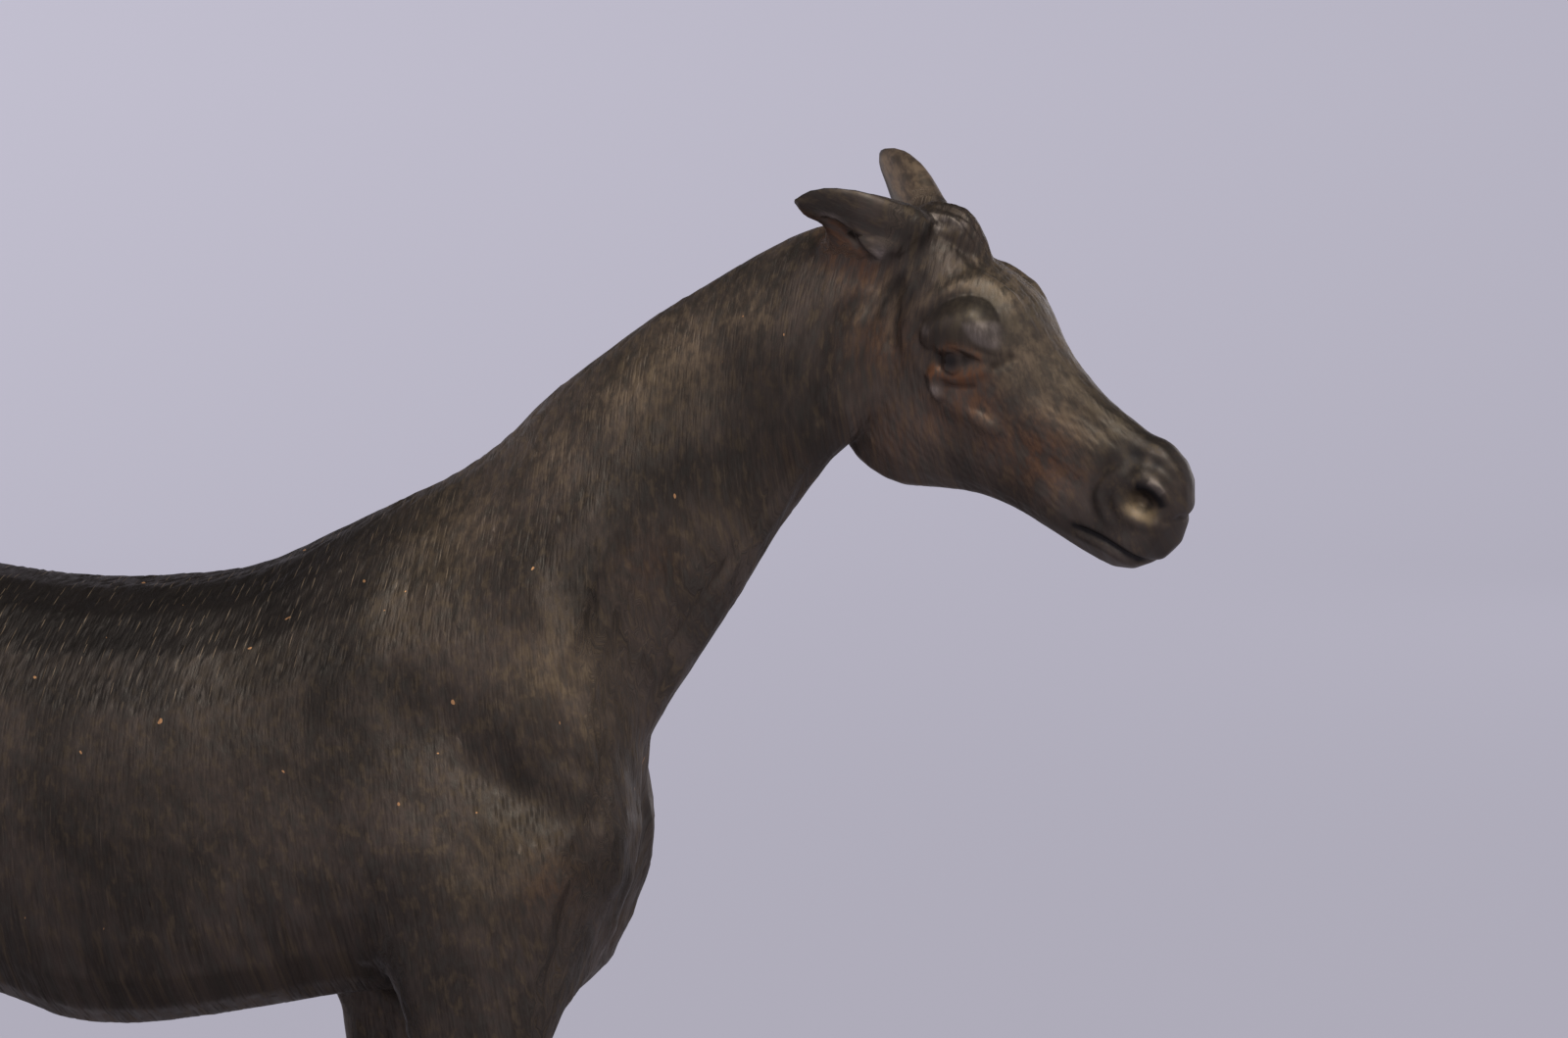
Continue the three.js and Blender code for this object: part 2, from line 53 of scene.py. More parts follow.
# %% [markdown]
# ## The camera
#
# The photograph is a close-up from the horse's right, from a little in front and a little above,
# which leaves the hindquarters and the legs outside the picture. A long lens close to the object
# gives the same mild perspective. The numbers were found by laying the part's outline over the
# photograph's until the two fell together.

# %% Camera
LENS_MM = 100
SENSOR_MM = 36
CAMERA_AZIMUTH = math.radians(6)
CAMERA_ELEVATION = math.radians(4)
CAMERA_DISTANCE = 0.889
CAMERA_AIM = Vector((0.136, 0, 0.2222))


def direction(azimuth, elevation):
    """The unit vector towards a place seen from the object: azimuth 0 is its right side, 90 its front."""
    level = math.cos(elevation)
    return Vector((math.sin(azimuth) * level, -math.cos(azimuth) * level, math.sin(elevation)))


def aimed(item, place, aim):
    """Puts a camera or lamp at a place, facing a point."""
    item.location = place
    item.rotation_euler = (aim - place).to_track_quat("-Z", "Y").to_euler()
    scene.collection.objects.link(item)
    return item


camera = bpy.data.objects.new("camera", bpy.data.cameras.new("camera"))
camera.data.lens = LENS_MM
camera.data.sensor_width = SENSOR_MM
camera.data.clip_start = 0.02
camera.data.clip_end = 40
aimed(camera, CAMERA_AIM + CAMERA_DISTANCE * direction(CAMERA_AZIMUTH, CAMERA_ELEVATION), CAMERA_AIM)
scene.camera = camera
print("The camera stands at", [round(c, 3) for c in camera.location])

# %% [markdown]
# ## The studio
#
# Behind the object hangs plain lilac-grey paper, out of focus and almost even. A real sweep of paper
# is one sheet that turns up from table to wall. Here it is turned into a bowl, so that it stays
# seamless from every side.

# %% Backdrop
PAPER_RADIUS = 5.0
PAPER_HEIGHT = 4.0
PAPER_CORNER = 2.4
PAPER_STEPS = 24
PAPER_SIDES = 96


def paper_profile():
    """Points of the bowl's cut, from the middle of the floor up to the wall's top edge."""
    points = [(0.0, 0.0), (PAPER_RADIUS - PAPER_CORNER, 0.0)]
    for step in range(1, PAPER_STEPS + 1):
        turn = 0.5 * math.pi * step / PAPER_STEPS
        out = PAPER_RADIUS - PAPER_CORNER + PAPER_CORNER * math.sin(turn)
        points.append((out, PAPER_CORNER * (1 - math.cos(turn))))
    return points + [(PAPER_RADIUS, PAPER_HEIGHT)]


def turned_mesh(name, profile, sides):
    """A mesh made by turning a profile of (radius, height) points about the Z axis."""
    turns = [2 * math.pi * k / sides for k in range(sides)]
    vertices = [(r * math.cos(t), r * math.sin(t), z) for r, z in profile for t in turns]
    faces = []
    for ring in range(len(profile) - 1):
        for k in range(sides):
            a = ring * sides + k
            b = ring * sides + (k + 1) % sides
            faces.append((a, b, b + sides, a + sides))
    mesh = bpy.data.meshes.new(name)
    mesh.from_pydata(vertices, [], faces)
    mesh.shade_smooth()
    return mesh


def new_material(name):
    """An empty material and its Principled shader, with the gloss model that renders fastest."""
    material = bpy.data.materials.new(name)
    material.use_nodes = True
    shader = material.node_tree.nodes["Principled BSDF"]
    shader.distribution = "GGX"
    return material, shader


PAPER_COLOUR = (0.12, 0.116, 0.13, 1)
PAPER_ROUGHNESS = 0.95
PAPER_GLOW = (0.487, 0.472, 0.562, 1)
# How the glow falls from the paper's left to its right, and grows from the floor's middle to the wall.
SIDE_GLOW = {"From Min": -1.2, "From Max": 1.6, "To Min": 0.995, "To Max": 0.79}
NEAR_GLOW = {"From Min": 0.6, "From Max": 4.0, "To Min": 0.8, "To Max": 1.03}


def glow(tree, source, numbers):
    """A share of the paper's glow that follows a distance on the paper."""
    falloff = tree.nodes.new("ShaderNodeMapRange")
    for name, value in numbers.items():
        falloff.inputs[name].default_value = value
    tree.links.new(source, falloff.inputs["Value"])
    return falloff.outputs["Result"]


def lilac_paper():
    """Matt paper that glows a little, which keeps it even without large lamps."""
    material, shader = new_material("lilac_paper")
    shader.inputs["Base Color"].default_value = PAPER_COLOUR
    shader.inputs["Roughness"].default_value = PAPER_ROUGHNESS
    shader.inputs["Specular IOR Level"].default_value = 0
    shader.inputs["Emission Color"].default_value = PAPER_GLOW
    material.cycles.emission_sampling = "NONE"
    tree = material.node_tree
    place = tree.nodes.new("ShaderNodeTexCoord").outputs["Object"]
    split = tree.nodes.new("ShaderNodeSeparateXYZ")
    away = tree.nodes.new("ShaderNodeVectorMath")
    away.operation = "LENGTH"
    strength = tree.nodes.new("ShaderNodeMath")
    strength.operation = "MULTIPLY"
    tree.links.new(place, split.inputs["Vector"])
    tree.links.new(place, away.inputs[0])
    tree.links.new(glow(tree, split.outputs["X"], SIDE_GLOW), strength.inputs[0])
    tree.links.new(glow(tree, away.outputs["Value"], NEAR_GLOW), strength.inputs[1])
    tree.links.new(strength.outputs["Value"], shader.inputs["Emission Strength"])
    return material


backdrop = bpy.data.objects.new("backdrop", turned_mesh("backdrop", paper_profile(), PAPER_SIDES))
backdrop.data.materials.append(lilac_paper())
scene.collection.objects.link(backdrop)
print("The paper has", len(backdrop.data.polygons), "faces")

# %% [markdown]
# The light is one big soft lamp on the camera's side, high and a little to the front: it draws the
# broad sheen along the barrel and on the brow, and leaves the top of the back dark, because nothing
# hangs above it; there the bronze is also painted nearly black, as painted shade. Two weak lamps on
# the far side only keep what the photograph hides from going black in other views.

# %% Lamps
KEY_LAMP = {
    "azimuth": 26, "elevation": 52, "distance": 1.5, "size": 0.8, "watts": 20, "tint": (1, 0.972, 0.93),
}
FILL = {"distance": 2.4, "size": 1.2, "watts": 7, "tint": (0.95, 0.95, 1)}
LAMP_AIM = Vector((0.06, 0, 0.16))
ROOM_COLOUR = (0.06, 0.058, 0.065, 1)


def soft_lamp(name, azimuth, elevation, distance, size, watts, tint):
    """A square lamp that faces the horse, seen from it at angles in degrees."""
    light = bpy.data.lights.new(name, "AREA")
    light.size = size
    light.energy = watts
    light.color = tint
    lamp = bpy.data.objects.new(name, light)
    towards = direction(math.radians(azimuth), math.radians(elevation))
    return aimed(lamp, LAMP_AIM + distance * towards, LAMP_AIM)


soft_lamp("key_lamp", **KEY_LAMP)
soft_lamp("left_lamp", azimuth=150, elevation=12, **FILL)
soft_lamp("rear_lamp", azimuth=235, elevation=14, **FILL)

world = bpy.data.worlds.new("dim_room")
world.use_nodes = True
world.node_tree.nodes["Background"].inputs["Color"].default_value = ROOM_COLOUR
scene.world = world
scene.view_settings.view_transform = "Standard"
# Dark bronze sends little light on, so a few bounces are enough.
scene.cycles.max_bounces = 2
scene.cycles.diffuse_bounces = 1
scene.cycles.glossy_bounces = 1

# %% [markdown]
# ## A lump of clay
#
# The solid has the horse's true form in about nine thousand flat faces, far too few for chased hair.
# A sculptor's way round this is to make clay of it: a voxel remesh lays an even net of
# half-millimetre squares over the solid, and smoothing melts the flat faces away. Subdivision would
# keep every facet's edge, and a sculpt brush can't be written down, so the net is read into arrays
# and each later form is a formula that moves its points.

# %% Remesh the solid
MM = 1000.0
NET_M = 0.0005
# Balls (x, y, z, radius), in millimetres, that close the hollow between the laid-back ear and the neck.
UNDER_EAR = [
    (145, -9.6, 280.2, 1.6), (147, -10.2, 279.2, 2.2), (149, -10.7, 278.6, 2.7), (151, -11.2, 278.2, 3.1),
    (153, -11.7, 278, 3.5), (155, -12.1, 278, 3.8), (157, -12.4, 278.2, 3.8), (159, -12.4, 278.4, 3.4),
]
BALL_DETAIL = 3


def clay_lump(name):
    """The horse's solid and the balls under its ear, as one new object."""
    lump = bmesh.new()
    lump.from_mesh(horse_node.data)
    for *at, radius in UNDER_EAR:
        middle = Matrix.Translation(Vector(at) / MM)
        bmesh.ops.create_icosphere(lump, subdivisions=BALL_DETAIL, radius=radius / MM, matrix=middle)
    mesh = bpy.data.meshes.new(name)
    lump.to_mesh(mesh)
    lump.free()
    made = bpy.data.objects.new(name, mesh)
    scene.collection.objects.link(made)
    return made


def evaluated_mesh(item):
    """A new mesh with the object's modifiers applied."""
    graph = bpy.context.evaluated_depsgraph_get()
    return bpy.data.meshes.new_from_object(item.evaluated_get(graph))


clay = clay_lump("horse_cast")
net = clay.modifiers.new("net", "REMESH")
net.mode = "VOXEL"
net.voxel_size = NET_M
fine_mesh = evaluated_mesh(clay)
clay.modifiers.clear()
clay.data = fine_mesh
count = len(fine_mesh.vertices)
print("The clay has", count, "points")


def read(collection, name, size):
    """One attribute of a mesh's elements as an array of rows."""
    values = np.empty(len(collection) * size, np.float32)
    collection.foreach_get(name, values)
    return values.reshape(-1, size)


def shape_clay(points):
    """Writes points, in millimetres, to the clay."""
    clay.data.vertices.foreach_set("co", (points / MM).astype(np.float32).ravel())
    clay.data.update()


def outward():
    """The clay's unit normals, one for each point."""
    return read(clay.data.vertex_normals, "vector", 3)


skin = read(fine_mesh.vertices, "co", 3) * MM

# %% [markdown]
# Plain smoothing shrinks a form while it melts its facets. So what one smoothing takes off is
# smoothed as well and put back: facets are gone after both, but a muscle or a hoof keeps its
# fullness. The body gets a strong dose, the head a weaker one, and ears and hooves almost none,
# blended softly from one to the next.

# %% Melt the facets
STRONG = 70
MILD = 22
LIGHT = 5


def smoothed(points, passes):
    """The points after so many passes that each draw a point towards its neighbours."""
    shape_clay(points)
    melt = clay.modifiers.new("melt", "SMOOTH")
    melt.factor = 0.5
    melt.iterations = passes
    graph = bpy.context.evaluated_depsgraph_get()
    result = read(clay.evaluated_get(graph).data.vertices, "co", 3) * MM
    clay.modifiers.clear()
    return result


def melted(points, passes):
    """Smoothing that keeps the fullness of the forms."""
    once = smoothed(points, passes)
    return once + smoothed(points - once, passes)


def ramp(values, low, high):
    """0 below low, 1 above high, and an S-curve between. With low above high it falls."""
    t = np.clip((values - low) / (high - low), 0, 1)
    return t * t * (3 - 2 * t)


# The head's own frame: x runs from the poll to the muzzle, y to the horse's left, z to the forehead.
POLL = np.array([163, -3, 280])
HEAD_TURN = Matrix.Rotation(math.radians(-16), 3, "Z")
HEAD_LEAN = Matrix.Rotation(math.radians(8), 3, "X")
HEAD_SLOPE = Matrix.Rotation(math.radians(45.8), 3, "Y")
HEAD_AXES = np.array(HEAD_TURN @ HEAD_LEAN @ HEAD_SLOPE)


def in_head(points):
    """Points of the standing horse, in the head's own frame."""
    return (points - POLL) @ HEAD_AXES


EAR_LENGTH = 24
EAR_REACH = 8.5
EAR_SOFT = 1.5


def tip_share(x):
    """1 along an ear, falling to 0 just past its tip."""
    return ramp(x, EAR_LENGTH + 4, EAR_LENGTH + 2)


class Ear:
    """An ear's own frame: x from root to tip, y towards its open side, z across the leaf."""

    def __init__(self, root, along, opens):
        self.root = POLL + HEAD_AXES @ np.array(root)
        x = np.array(along) / np.linalg.norm(along)
        z = np.cross(x, opens)
        z /= np.linalg.norm(z)
        self.axes = np.array([x, np.cross(z, x), z])

    def local(self, points):
        return (points - self.root) @ self.axes.T

    def back(self, places):
        return places @ self.axes + self.root

    def mask(self, points):
        """1 on the ear and 0 off it."""
        x, y, z = self.local(points).T
        return ramp(x, 1, 4) * tip_share(x) * ramp(np.hypot(y, z), EAR_REACH, EAR_REACH - EAR_SOFT)


NEAR_EAR = Ear(root=(-0.6, -8, 2.4), along=(-0.95, -0.2, 0.27), opens=(0.1, -0.74, -0.66))
FAR_EAR = Ear(root=(-1, 8.2, 1), along=(-0.46, 0.62, 0.62), opens=(0.55, 0.83, 0))


def ear_mask(points):
    return np.maximum(NEAR_EAR.mask(points), FAR_EAR.mask(points))


def away_from_line(points, start, end):
    """Each point's distance from a straight line, and how far along it that is, from 0 to 1."""
    run = end - start
    along = np.clip((points - start) @ run / (run @ run), 0, 1)
    return np.linalg.norm(points - start - along[:, None] * run, axis=1), along


JAW_DEPTH = -44
SOLE = 12.0
SOLE_EDGE = 0.4
SOLE_BLEND = 0.6
HOOF_TOP = 25
HOOF_LIGHT = 0.6


def head_mask(head_points):
    """1 on the skull and 0 on the neck and body."""
    below = ramp(head_points[:, 2], JAW_DEPTH - 3, JAW_DEPTH + 3)
    return ramp(head_points[:, 0], -4, 3) * below


grades = {passes: melted(skin, passes) for passes in (LIGHT, MILD, STRONG)}
on_ear = ear_mask(skin)
on_head = np.maximum(head_mask(in_head(skin)), on_ear)
on_hoof = ramp(skin[:, 2], HOOF_TOP + 3, HOOF_TOP - 3)
mild = np.maximum(on_head, on_hoof)[:, None]
light = np.maximum(on_ear, HOOF_LIGHT * on_hoof)[:, None]
untouched = ramp(skin[:, 2], SOLE + SOLE_EDGE + SOLE_BLEND, SOLE + SOLE_EDGE)[:, None]
smooth = grades[STRONG] * (1 - mild) + grades[MILD] * mild
smooth = smooth * (1 - light) + grades[LIGHT] * light
skin = smooth * (1 - untouched) + skin * untouched
shape_clay(skin)
most = float(np.abs(smooth - grades[LIGHT]).max())
print("The facets are melted; the strong and the light grade differ by up to", round(most, 2), "mm")

# %% [markdown]
# ## Tools for modelling
#
# All the carving is done with three tools. A roll is a soft ridge, or a groove where its height is
# below zero, along a line of a few points. A mound lifts what lies inside an outline, with a rounded
# shoulder at its edge. A swell is a soft round lift about one place. Each returns heights, and the
# skin is moved outward by their sum. Forms are listed in tables of rolls, one row for each: its line,
# its half width and its height in millimetres.

# %% Rolls, mounds and swells
def curve(points, steps=8):
    """A smooth line through a few points, as many short pieces."""
    knots = np.array(points, float)
    padded = np.vstack([2 * knots[0] - knots[1], knots, 2 * knots[-1] - knots[-2]])
    t = np.linspace(0, 1, steps, endpoint=False)[:, None]
    pieces = []
    for a, b, c, d in zip(padded, padded[1:], padded[2:], padded[3:]):
        square = 2 * a - 5 * b + 4 * c - d
        cube = 3 * (b - c) + d - a
        pieces.append(0.5 * (2 * b + (c - a) * t + square * t**2 + cube * t**3))
    return np.vstack(pieces + [knots[-1:]])


def away_from_curve(places, line):
    """Each place's distance from a line of short pieces, and the share of its length passed there."""
    nearest = np.full(len(places), np.inf)
    share = np.zeros(len(places))
    lengths = np.linalg.norm(np.diff(line, axis=0), axis=1)
    passed = np.concatenate([[0], np.cumsum(lengths)]) / lengths.sum()
    for k, (start, end) in enumerate(zip(line, line[1:])):
        away, along = away_from_line(places, start, end)
        closer = away < nearest
        nearest[closer] = away[closer]
        share[closer] = passed[k] + along[closer] * (passed[k + 1] - passed[k])
    return nearest, share


def roll(places, points, width, height, fade=0.2):
    """A soft ridge along a line that fades out over a share of its length at both ends."""
    line = curve(points)
    low = line.min(0) - 3 * width
    high = line.max(0) + 3 * width
    near = np.all((places > low) & (places < high), axis=1)
    lift = np.zeros(len(places))
    away, share = away_from_curve(places[near], line)
    ends = ramp(share, 0, fade) * ramp(share, 1, 1 - fade) if fade else 1
    lift[near] = height * np.exp(-((away / width) ** 2)) * ends
    return lift


def add_rolls(lift, places, table, fade=0.2):
    """Adds a table of rolls, each (line, half width, height), to the heights."""
    for line, width, height in table:
        lift += roll(places, line, width, height, fade)


def inside(places, outline):
    """Whether each place lies inside a closed outline."""
    within = np.zeros(len(places), bool)
    x, y = places.T
    for (x0, y0), (x1, y1) in zip(outline, np.roll(outline, -1, axis=0)):
        crosses = (y0 > y) != (y1 > y)
        within ^= crosses & (x < x0 + (y - y0) * (x1 - x0) / (y1 - y0 + 1e-12))
    return within


def mound(places, points, shoulder, height, soft=False):
    """Lifts what lies inside a closed outline, rising to its full height over the shoulder's width."""
    knots = np.array(points, float)
    line = curve(np.vstack([knots, knots[:1]]))
    lift = np.zeros(len(places))
    near = np.flatnonzero(np.all((places > line.min(0)) & (places < line.max(0)), axis=1))
    near = near[inside(places[near], line)]
    away, _ = away_from_curve(places[near], line)
    t = np.clip(away / shoulder, 0, 1)
    lift[near] = height * (t * t * (3 - 2 * t) if soft else np.sqrt(1 - (1 - t) ** 2))
    return lift


def swell(places, at, radii, height):
    """A soft lift about a place."""
    far = (places - np.array(at)) / np.array(radii)
    return height * np.exp(-(far**2).sum(1))


def off_middle(points, inner, outer):
    """0 near the plane that halves the head or the body, and 1 from the outer distance on."""
    return ramp(np.abs(points[:, 1]), inner, outer)


def raise_skin(points, heights):
    """Moves the points outward by their heights and returns them."""
    shape_clay(points)
    return points + heights[:, None] * outward()

# %% [markdown]
# The solid's own lids and nostrils are only blocked in. Before the fine ones are carved, the skin
# there is let go slack: drawn to its neighbours hundreds of times inside a soft-edged window, like
# wiping a place smooth.

# %% Wipe a window smooth
ends = np.empty(len(fine_mesh.edges) * 2, np.int32)
fine_mesh.edges.foreach_get("vertices", ends)
pairs = ends.reshape(-1, 2)
sources = np.concatenate([pairs[:, 0], pairs[:, 1]])
targets = np.concatenate([pairs[:, 1], pairs[:, 0]])[np.argsort(sources, kind="stable")]
valence = np.bincount(sources, minlength=count)
first = np.concatenate([[0], np.cumsum(valence)[:-1]])


def wiped(points, window, passes):
    """Lets the skin go slack where the window, from 0 to 1, is open."""
    chosen = np.flatnonzero(window > 0.01)
    sizes = valence[chosen]
    starts = np.concatenate([[0], np.cumsum(sizes)[:-1]])
    slots = np.repeat(first[chosen] - starts, sizes) + np.arange(sizes.sum())
    around = targets[slots]
    share = window[chosen][:, None]
    result = points.copy()
    for _ in range(passes):
        middle = np.add.reduceat(result[around], starts, axis=0) / sizes[:, None]
        result[chosen] += share * (middle - result[chosen])
    return result


EYE_WINDOW = {"at": (25.5, -4.5), "radii": (12.5, 10.5)}
NOSTRIL_WINDOW = {"at": (69.5, -2.5), "radii": (8.5, 9.5)}
WINDOW_EDGE = 0.35
EYE_WIPES = 260
NOSTRIL_WIPES = 130


def window(head_points, at, radii):
    """1 in an ellipse seen from the side, on both sides of the head, and 0 outside it."""
    out = np.hypot((head_points[:, 0] - at[0]) / radii[0], (head_points[:, 2] - at[1]) / radii[1])
    return ramp(out, 1, 1 - WINDOW_EDGE) * off_middle(head_points, 2.5, 4.5)


place_in_head = in_head(skin)
skin = wiped(skin, window(place_in_head, **EYE_WINDOW), EYE_WIPES)
skin = wiped(skin, window(place_in_head, **NOSTRIL_WINDOW), NOSTRIL_WIPES)
print("Wiped the eyes' and the nostrils' windows")

# %% [markdown]
# ## The eye
#
# This horse looks out from under a heavy upper lid: a smooth half-moon that overhangs a small
# eyeball. Under it lie a thin upper rim, the ball in its slot and a thin lower rim, then a fold that
# runs down from the rear corner into the cheek bone. The places are in the head's frame, so one list
# serves both eyes.

# %% Eyes
LID = [(15.6, -8.8), (15, -5.6), (15.6, -1), (17.6, 3), (20.8, 5.2), (24.4, 5.1), (28, 3.2), (30.8, 0.4),
       (30, -0.8), (26.9, -2.1), (24.2, -3.7), (21.8, -5.6), (20.5, -8), (19.4, -10), (17.4, -10.2)]
SLOT = [(20.6, -10), (21.2, -7.6), (22.6, -5.4), (25, -3.9), (27.4, -3.2), (29.2, -3.2), (28.8, -5.2),
        (27.8, -7.8), (26, -10.4), (23.6, -11.8)]
UPPER_RIM = [(20.9, -9.6), (21.4, -7.8), (22.6, -5.9), (24.8, -4.2), (27.3, -3.1), (30.2, -2.7)]
LOWER_RIM = [(21.4, -12.2), (24, -12.1), (26.6, -10.8), (28.9, -8), (30.4, -5), (31.4, -2.8)]
EYEBALL = {"at": (24.6, -7.9), "radius": 2.6, "rise": 1.3}
BROW = [(14.2, -10), (12.9, -6.2), (13.6, -0.6), (15.6, 4.4), (19.4, 8), (24, 8.6), (28.6, 7)]
FRONT_CORNER = [(31, -4), (32.4, -1), (32.6, 2)]
UNDER_RIM = [(25.8, -13), (27.8, -12), (30.2, -10.2), (32, -8)]
TEAR_FOLD = [(22.6, -12.6), (24.4, -14), (26.6, -15.4), (28.8, -16.4)]
CHEEK_BONE = [(28, -16), (31, -15.4), (34.6, -14.2), (38, -12.8), (41.4, -10.6)]
UNDER_BONE = [(26, -20), (30.8, -19.2), (35.4, -17.8), (40, -16)]
EYE_RIMS = [(UPPER_RIM, 0.9, 0.5), (LOWER_RIM, 1.3, 0.7)]
EYE_FOLDS = [
    (FRONT_CORNER, 1.2, -0.8), (UNDER_RIM, 0.7, -0.45), (TEAR_FOLD, 1.1, 0.9),
    (CHEEK_BONE, 2.8, 0.6), (UNDER_BONE, 3, -0.5),
]


def seen_from_side(head_points):
    return head_points[:, [0, 2]]


def eye_ball(flat, at, radius, rise):
    """A round ball that stands up out of its slot."""
    out = np.hypot(flat[:, 0] - at[0], flat[:, 1] - at[1]) / radius
    return rise * np.sqrt(np.clip(1 - out**2, 0, 1))


def dome_heights(head_points):
    """The round of the eye and its heavy lid, before the rims are cut."""
    flat = seen_from_side(head_points)
    lift = swell(flat, at=(24, -2.5), radii=(11, 9), height=1.4)
    lift += mound(flat, LID, shoulder=4.6, height=2.5, soft=True)
    return lift * off_middle(head_points, 5, 7)


def eye_heights(head_points):
    """The lid's edge, the ball in its slot, the rims and the folds round them."""
    flat = seen_from_side(head_points)
    lift = mound(flat, LID, shoulder=1.6, height=0.4)
    add_rolls(lift, flat, [(BROW, 1.9, 0.8)])
    lift -= mound(flat, SLOT, shoulder=2.2, height=1.1, soft=True)
    lift += eye_ball(flat, **EYEBALL)
    add_rolls(lift, flat, EYE_RIMS, fade=0.15)
    add_rolls(lift, flat, EYE_FOLDS)
    return lift * off_middle(head_points, 5, 7)


# %% [markdown]
# ## The muzzle
#
# Each nostril is an oval bowl in a raised ring, wrapped behind by a second fold like a comma. The
# mouth is one fine groove that climbs round the front under the upper lip. The bowl is pushed in
# along the skin's own normals, which is enough here, because a bronze nostril is only a few
# millimetres deep.

# %% Nostrils and mouth
NOSTRIL = {"at": np.array((71.2, -2.2)), "half_length": 4.3, "half_width": 3, "turn": math.radians(19)}
BOWL_DEPTH = 1.7
RING_AWAY = 1.36
RING_WIDTH = 1.0
RING_LIFT = 0.7
RING_TOP = [(64.9, 0.4), (66.6, 1.9), (69.2, 2.7), (72.2, 2.9), (74.8, 1.8), (76, -0.4)]
WING_FOLD = [(64.6, 0.6), (63, -2.2), (62.9, -5), (63.9, -7.4), (66, -9), (69, -9.6), (72, -9.4)]
WING_CREASE = [(66, -0.8), (65, -2.8), (65.3, -5.2), (66.6, -7), (69, -8.2)]
OUTER_CREASE = [(61.8, 1.4), (60.9, -3.4), (61.3, -6.8), (62.8, -9.4), (65.6, -10.8), (69, -11.2)]
OVER_RING = [(65, 4.2), (67.7, 4.9), (71, 5), (74.4, 3.8), (77, 1.4)]
MOUTH_LINE = [(62.8, -17.2), (66, -15.8), (70.4, -13.8), (74.5, -12.7), (77.4, -12), (80, -11), (82.4, -10)]
LOWER_LIP = [(64, -18.4), (68, -16.8), (72, -15.2), (76, -14.2), (79.4, -13.4)]
NOSE_TIP_CREASE = [(76, -2.6), (77.8, -0.8), (79, 1)]
NOSTRIL_FOLDS = [
    (RING_TOP, 1.2, 0.6), (WING_FOLD, 1.3, 0.6), (WING_CREASE, 0.9, -0.35), (OUTER_CREASE, 1.7, -0.7),
]


def nostril_heights(flat):
    """A bowl in a raised ring, both longest on a slant."""
    c, s = math.cos(NOSTRIL["turn"]), math.sin(NOSTRIL["turn"])
    along, across = ((flat - NOSTRIL["at"]) @ np.array([[c, -s], [s, c]])).T
    away = np.hypot(along / NOSTRIL["half_length"], across / NOSTRIL["half_width"])
    bowl = -BOWL_DEPTH * ramp(away, 1.1, 0.1) * ramp(across, -4.5, 1.5)
    bowl -= 0.5 * BOWL_DEPTH * ramp(away, 1.05, 0.2)
    ring = RING_LIFT * np.exp(-(((away - RING_AWAY) * NOSTRIL["half_width"] / RING_WIDTH) ** 2))
    return bowl + ring


def muzzle_heights(head_points):
    """The nostrils and their folds, two dents on the nose, the mouth's line and the lower lip."""
    flat = seen_from_side(head_points)
    lift = nostril_heights(flat)
    add_rolls(lift, flat, NOSTRIL_FOLDS)
    lift += swell(flat, (63.4, 3.2), (3, 2.2), -0.5)
    add_rolls(lift, flat, [(OVER_RING, 1.2, -0.4)])
    lift *= off_middle(head_points, 3.2, 5)
    lift += swell(flat, (61.6, 7.4), (2.6, 3), -0.35) + swell(flat, (66, 9.8), (2.4, 3), 0.45)
    add_rolls(lift, flat, [(MOUTH_LINE, 0.6, -0.9)], fade=0.25)
    add_rolls(lift, flat, [(LOWER_LIP, 1.2, 0.5), (NOSE_TIP_CREASE, 1.0, -0.8)])
    return lift


# %% [markdown]
# ## Jaw, cheek and nose
#
# The planes of a thoroughbred's head are set apart by a few low ridges: the jaw's round rear edge,
# the temple, the bone under the eye, and the nose's side. They are wide and low, so they are laid
# over the whole head at once.

# %% Bones of the head
JAW_EDGE = [(4.6, -12), (6.6, -18.6), (10.4, -25.6), (14.4, -30.6), (20, -35.6)]
JAW_GROOVE = [(1.4, -10), (3, -18.6), (7, -27), (11.4, -33), (17.6, -38.6)]
TEMPLE_GROOVE = [(5, -3), (6.6, -8), (10, -13), (15, -17)]
TEMPLE_RIDGE = [(8, -1), (10, -7), (14, -12), (18.6, -14.4)]
NOSE_RIDGE = [(40, -5.4), (47, -4.4), (54, -3), (60.2, -1.3)]
CHEEK_HOLLOW = [(43, -12), (50.6, -11.4), (58, -10), (62, -9)]
NOSE_HOLLOW = [(36, -1.6), (44, -0.4), (52, 1.2), (58, 3)]
BONES = [
    (JAW_EDGE, 3, 0.8), (JAW_GROOVE, 2, -1.1), (TEMPLE_GROOVE, 2, -0.8), (TEMPLE_RIDGE, 1.8, 0.5),
    (NOSE_RIDGE, 2.4, 0.5), (CHEEK_HOLLOW, 2.6, -0.6), (NOSE_HOLLOW, 2.4, -0.4),
]


def bone_heights(head_points):
    lift = np.zeros(len(head_points))
    add_rolls(lift, seen_from_side(head_points), BONES)
    return lift * off_middle(head_points, 3, 6)


# %% [markdown]
# ## Hair on the poll
#
# The mane is clipped off, and only a short tuft is left between the ears. It is a handful of locks
# that fall forward, so each lock is a narrow roll with a groove beside it.

# %% Tuft
TUFT_LOCKS = 9
TUFT_HALF_WIDTH = 6.2
LOCK_WAVE = 0.5
LOCK_TO_GROOVE = 0.75


def lock_line(number):
    """A lock seen from above, from the poll towards a point on the forehead."""
    side = (2 * number / (TUFT_LOCKS - 1) - 1) * TUFT_HALF_WIDTH
    wave = LOCK_WAVE * math.sin(2.4 * number)
    return [(-3, side), (3, side + wave), (9, side * 0.8 - wave), (15.5, side * 0.45)]


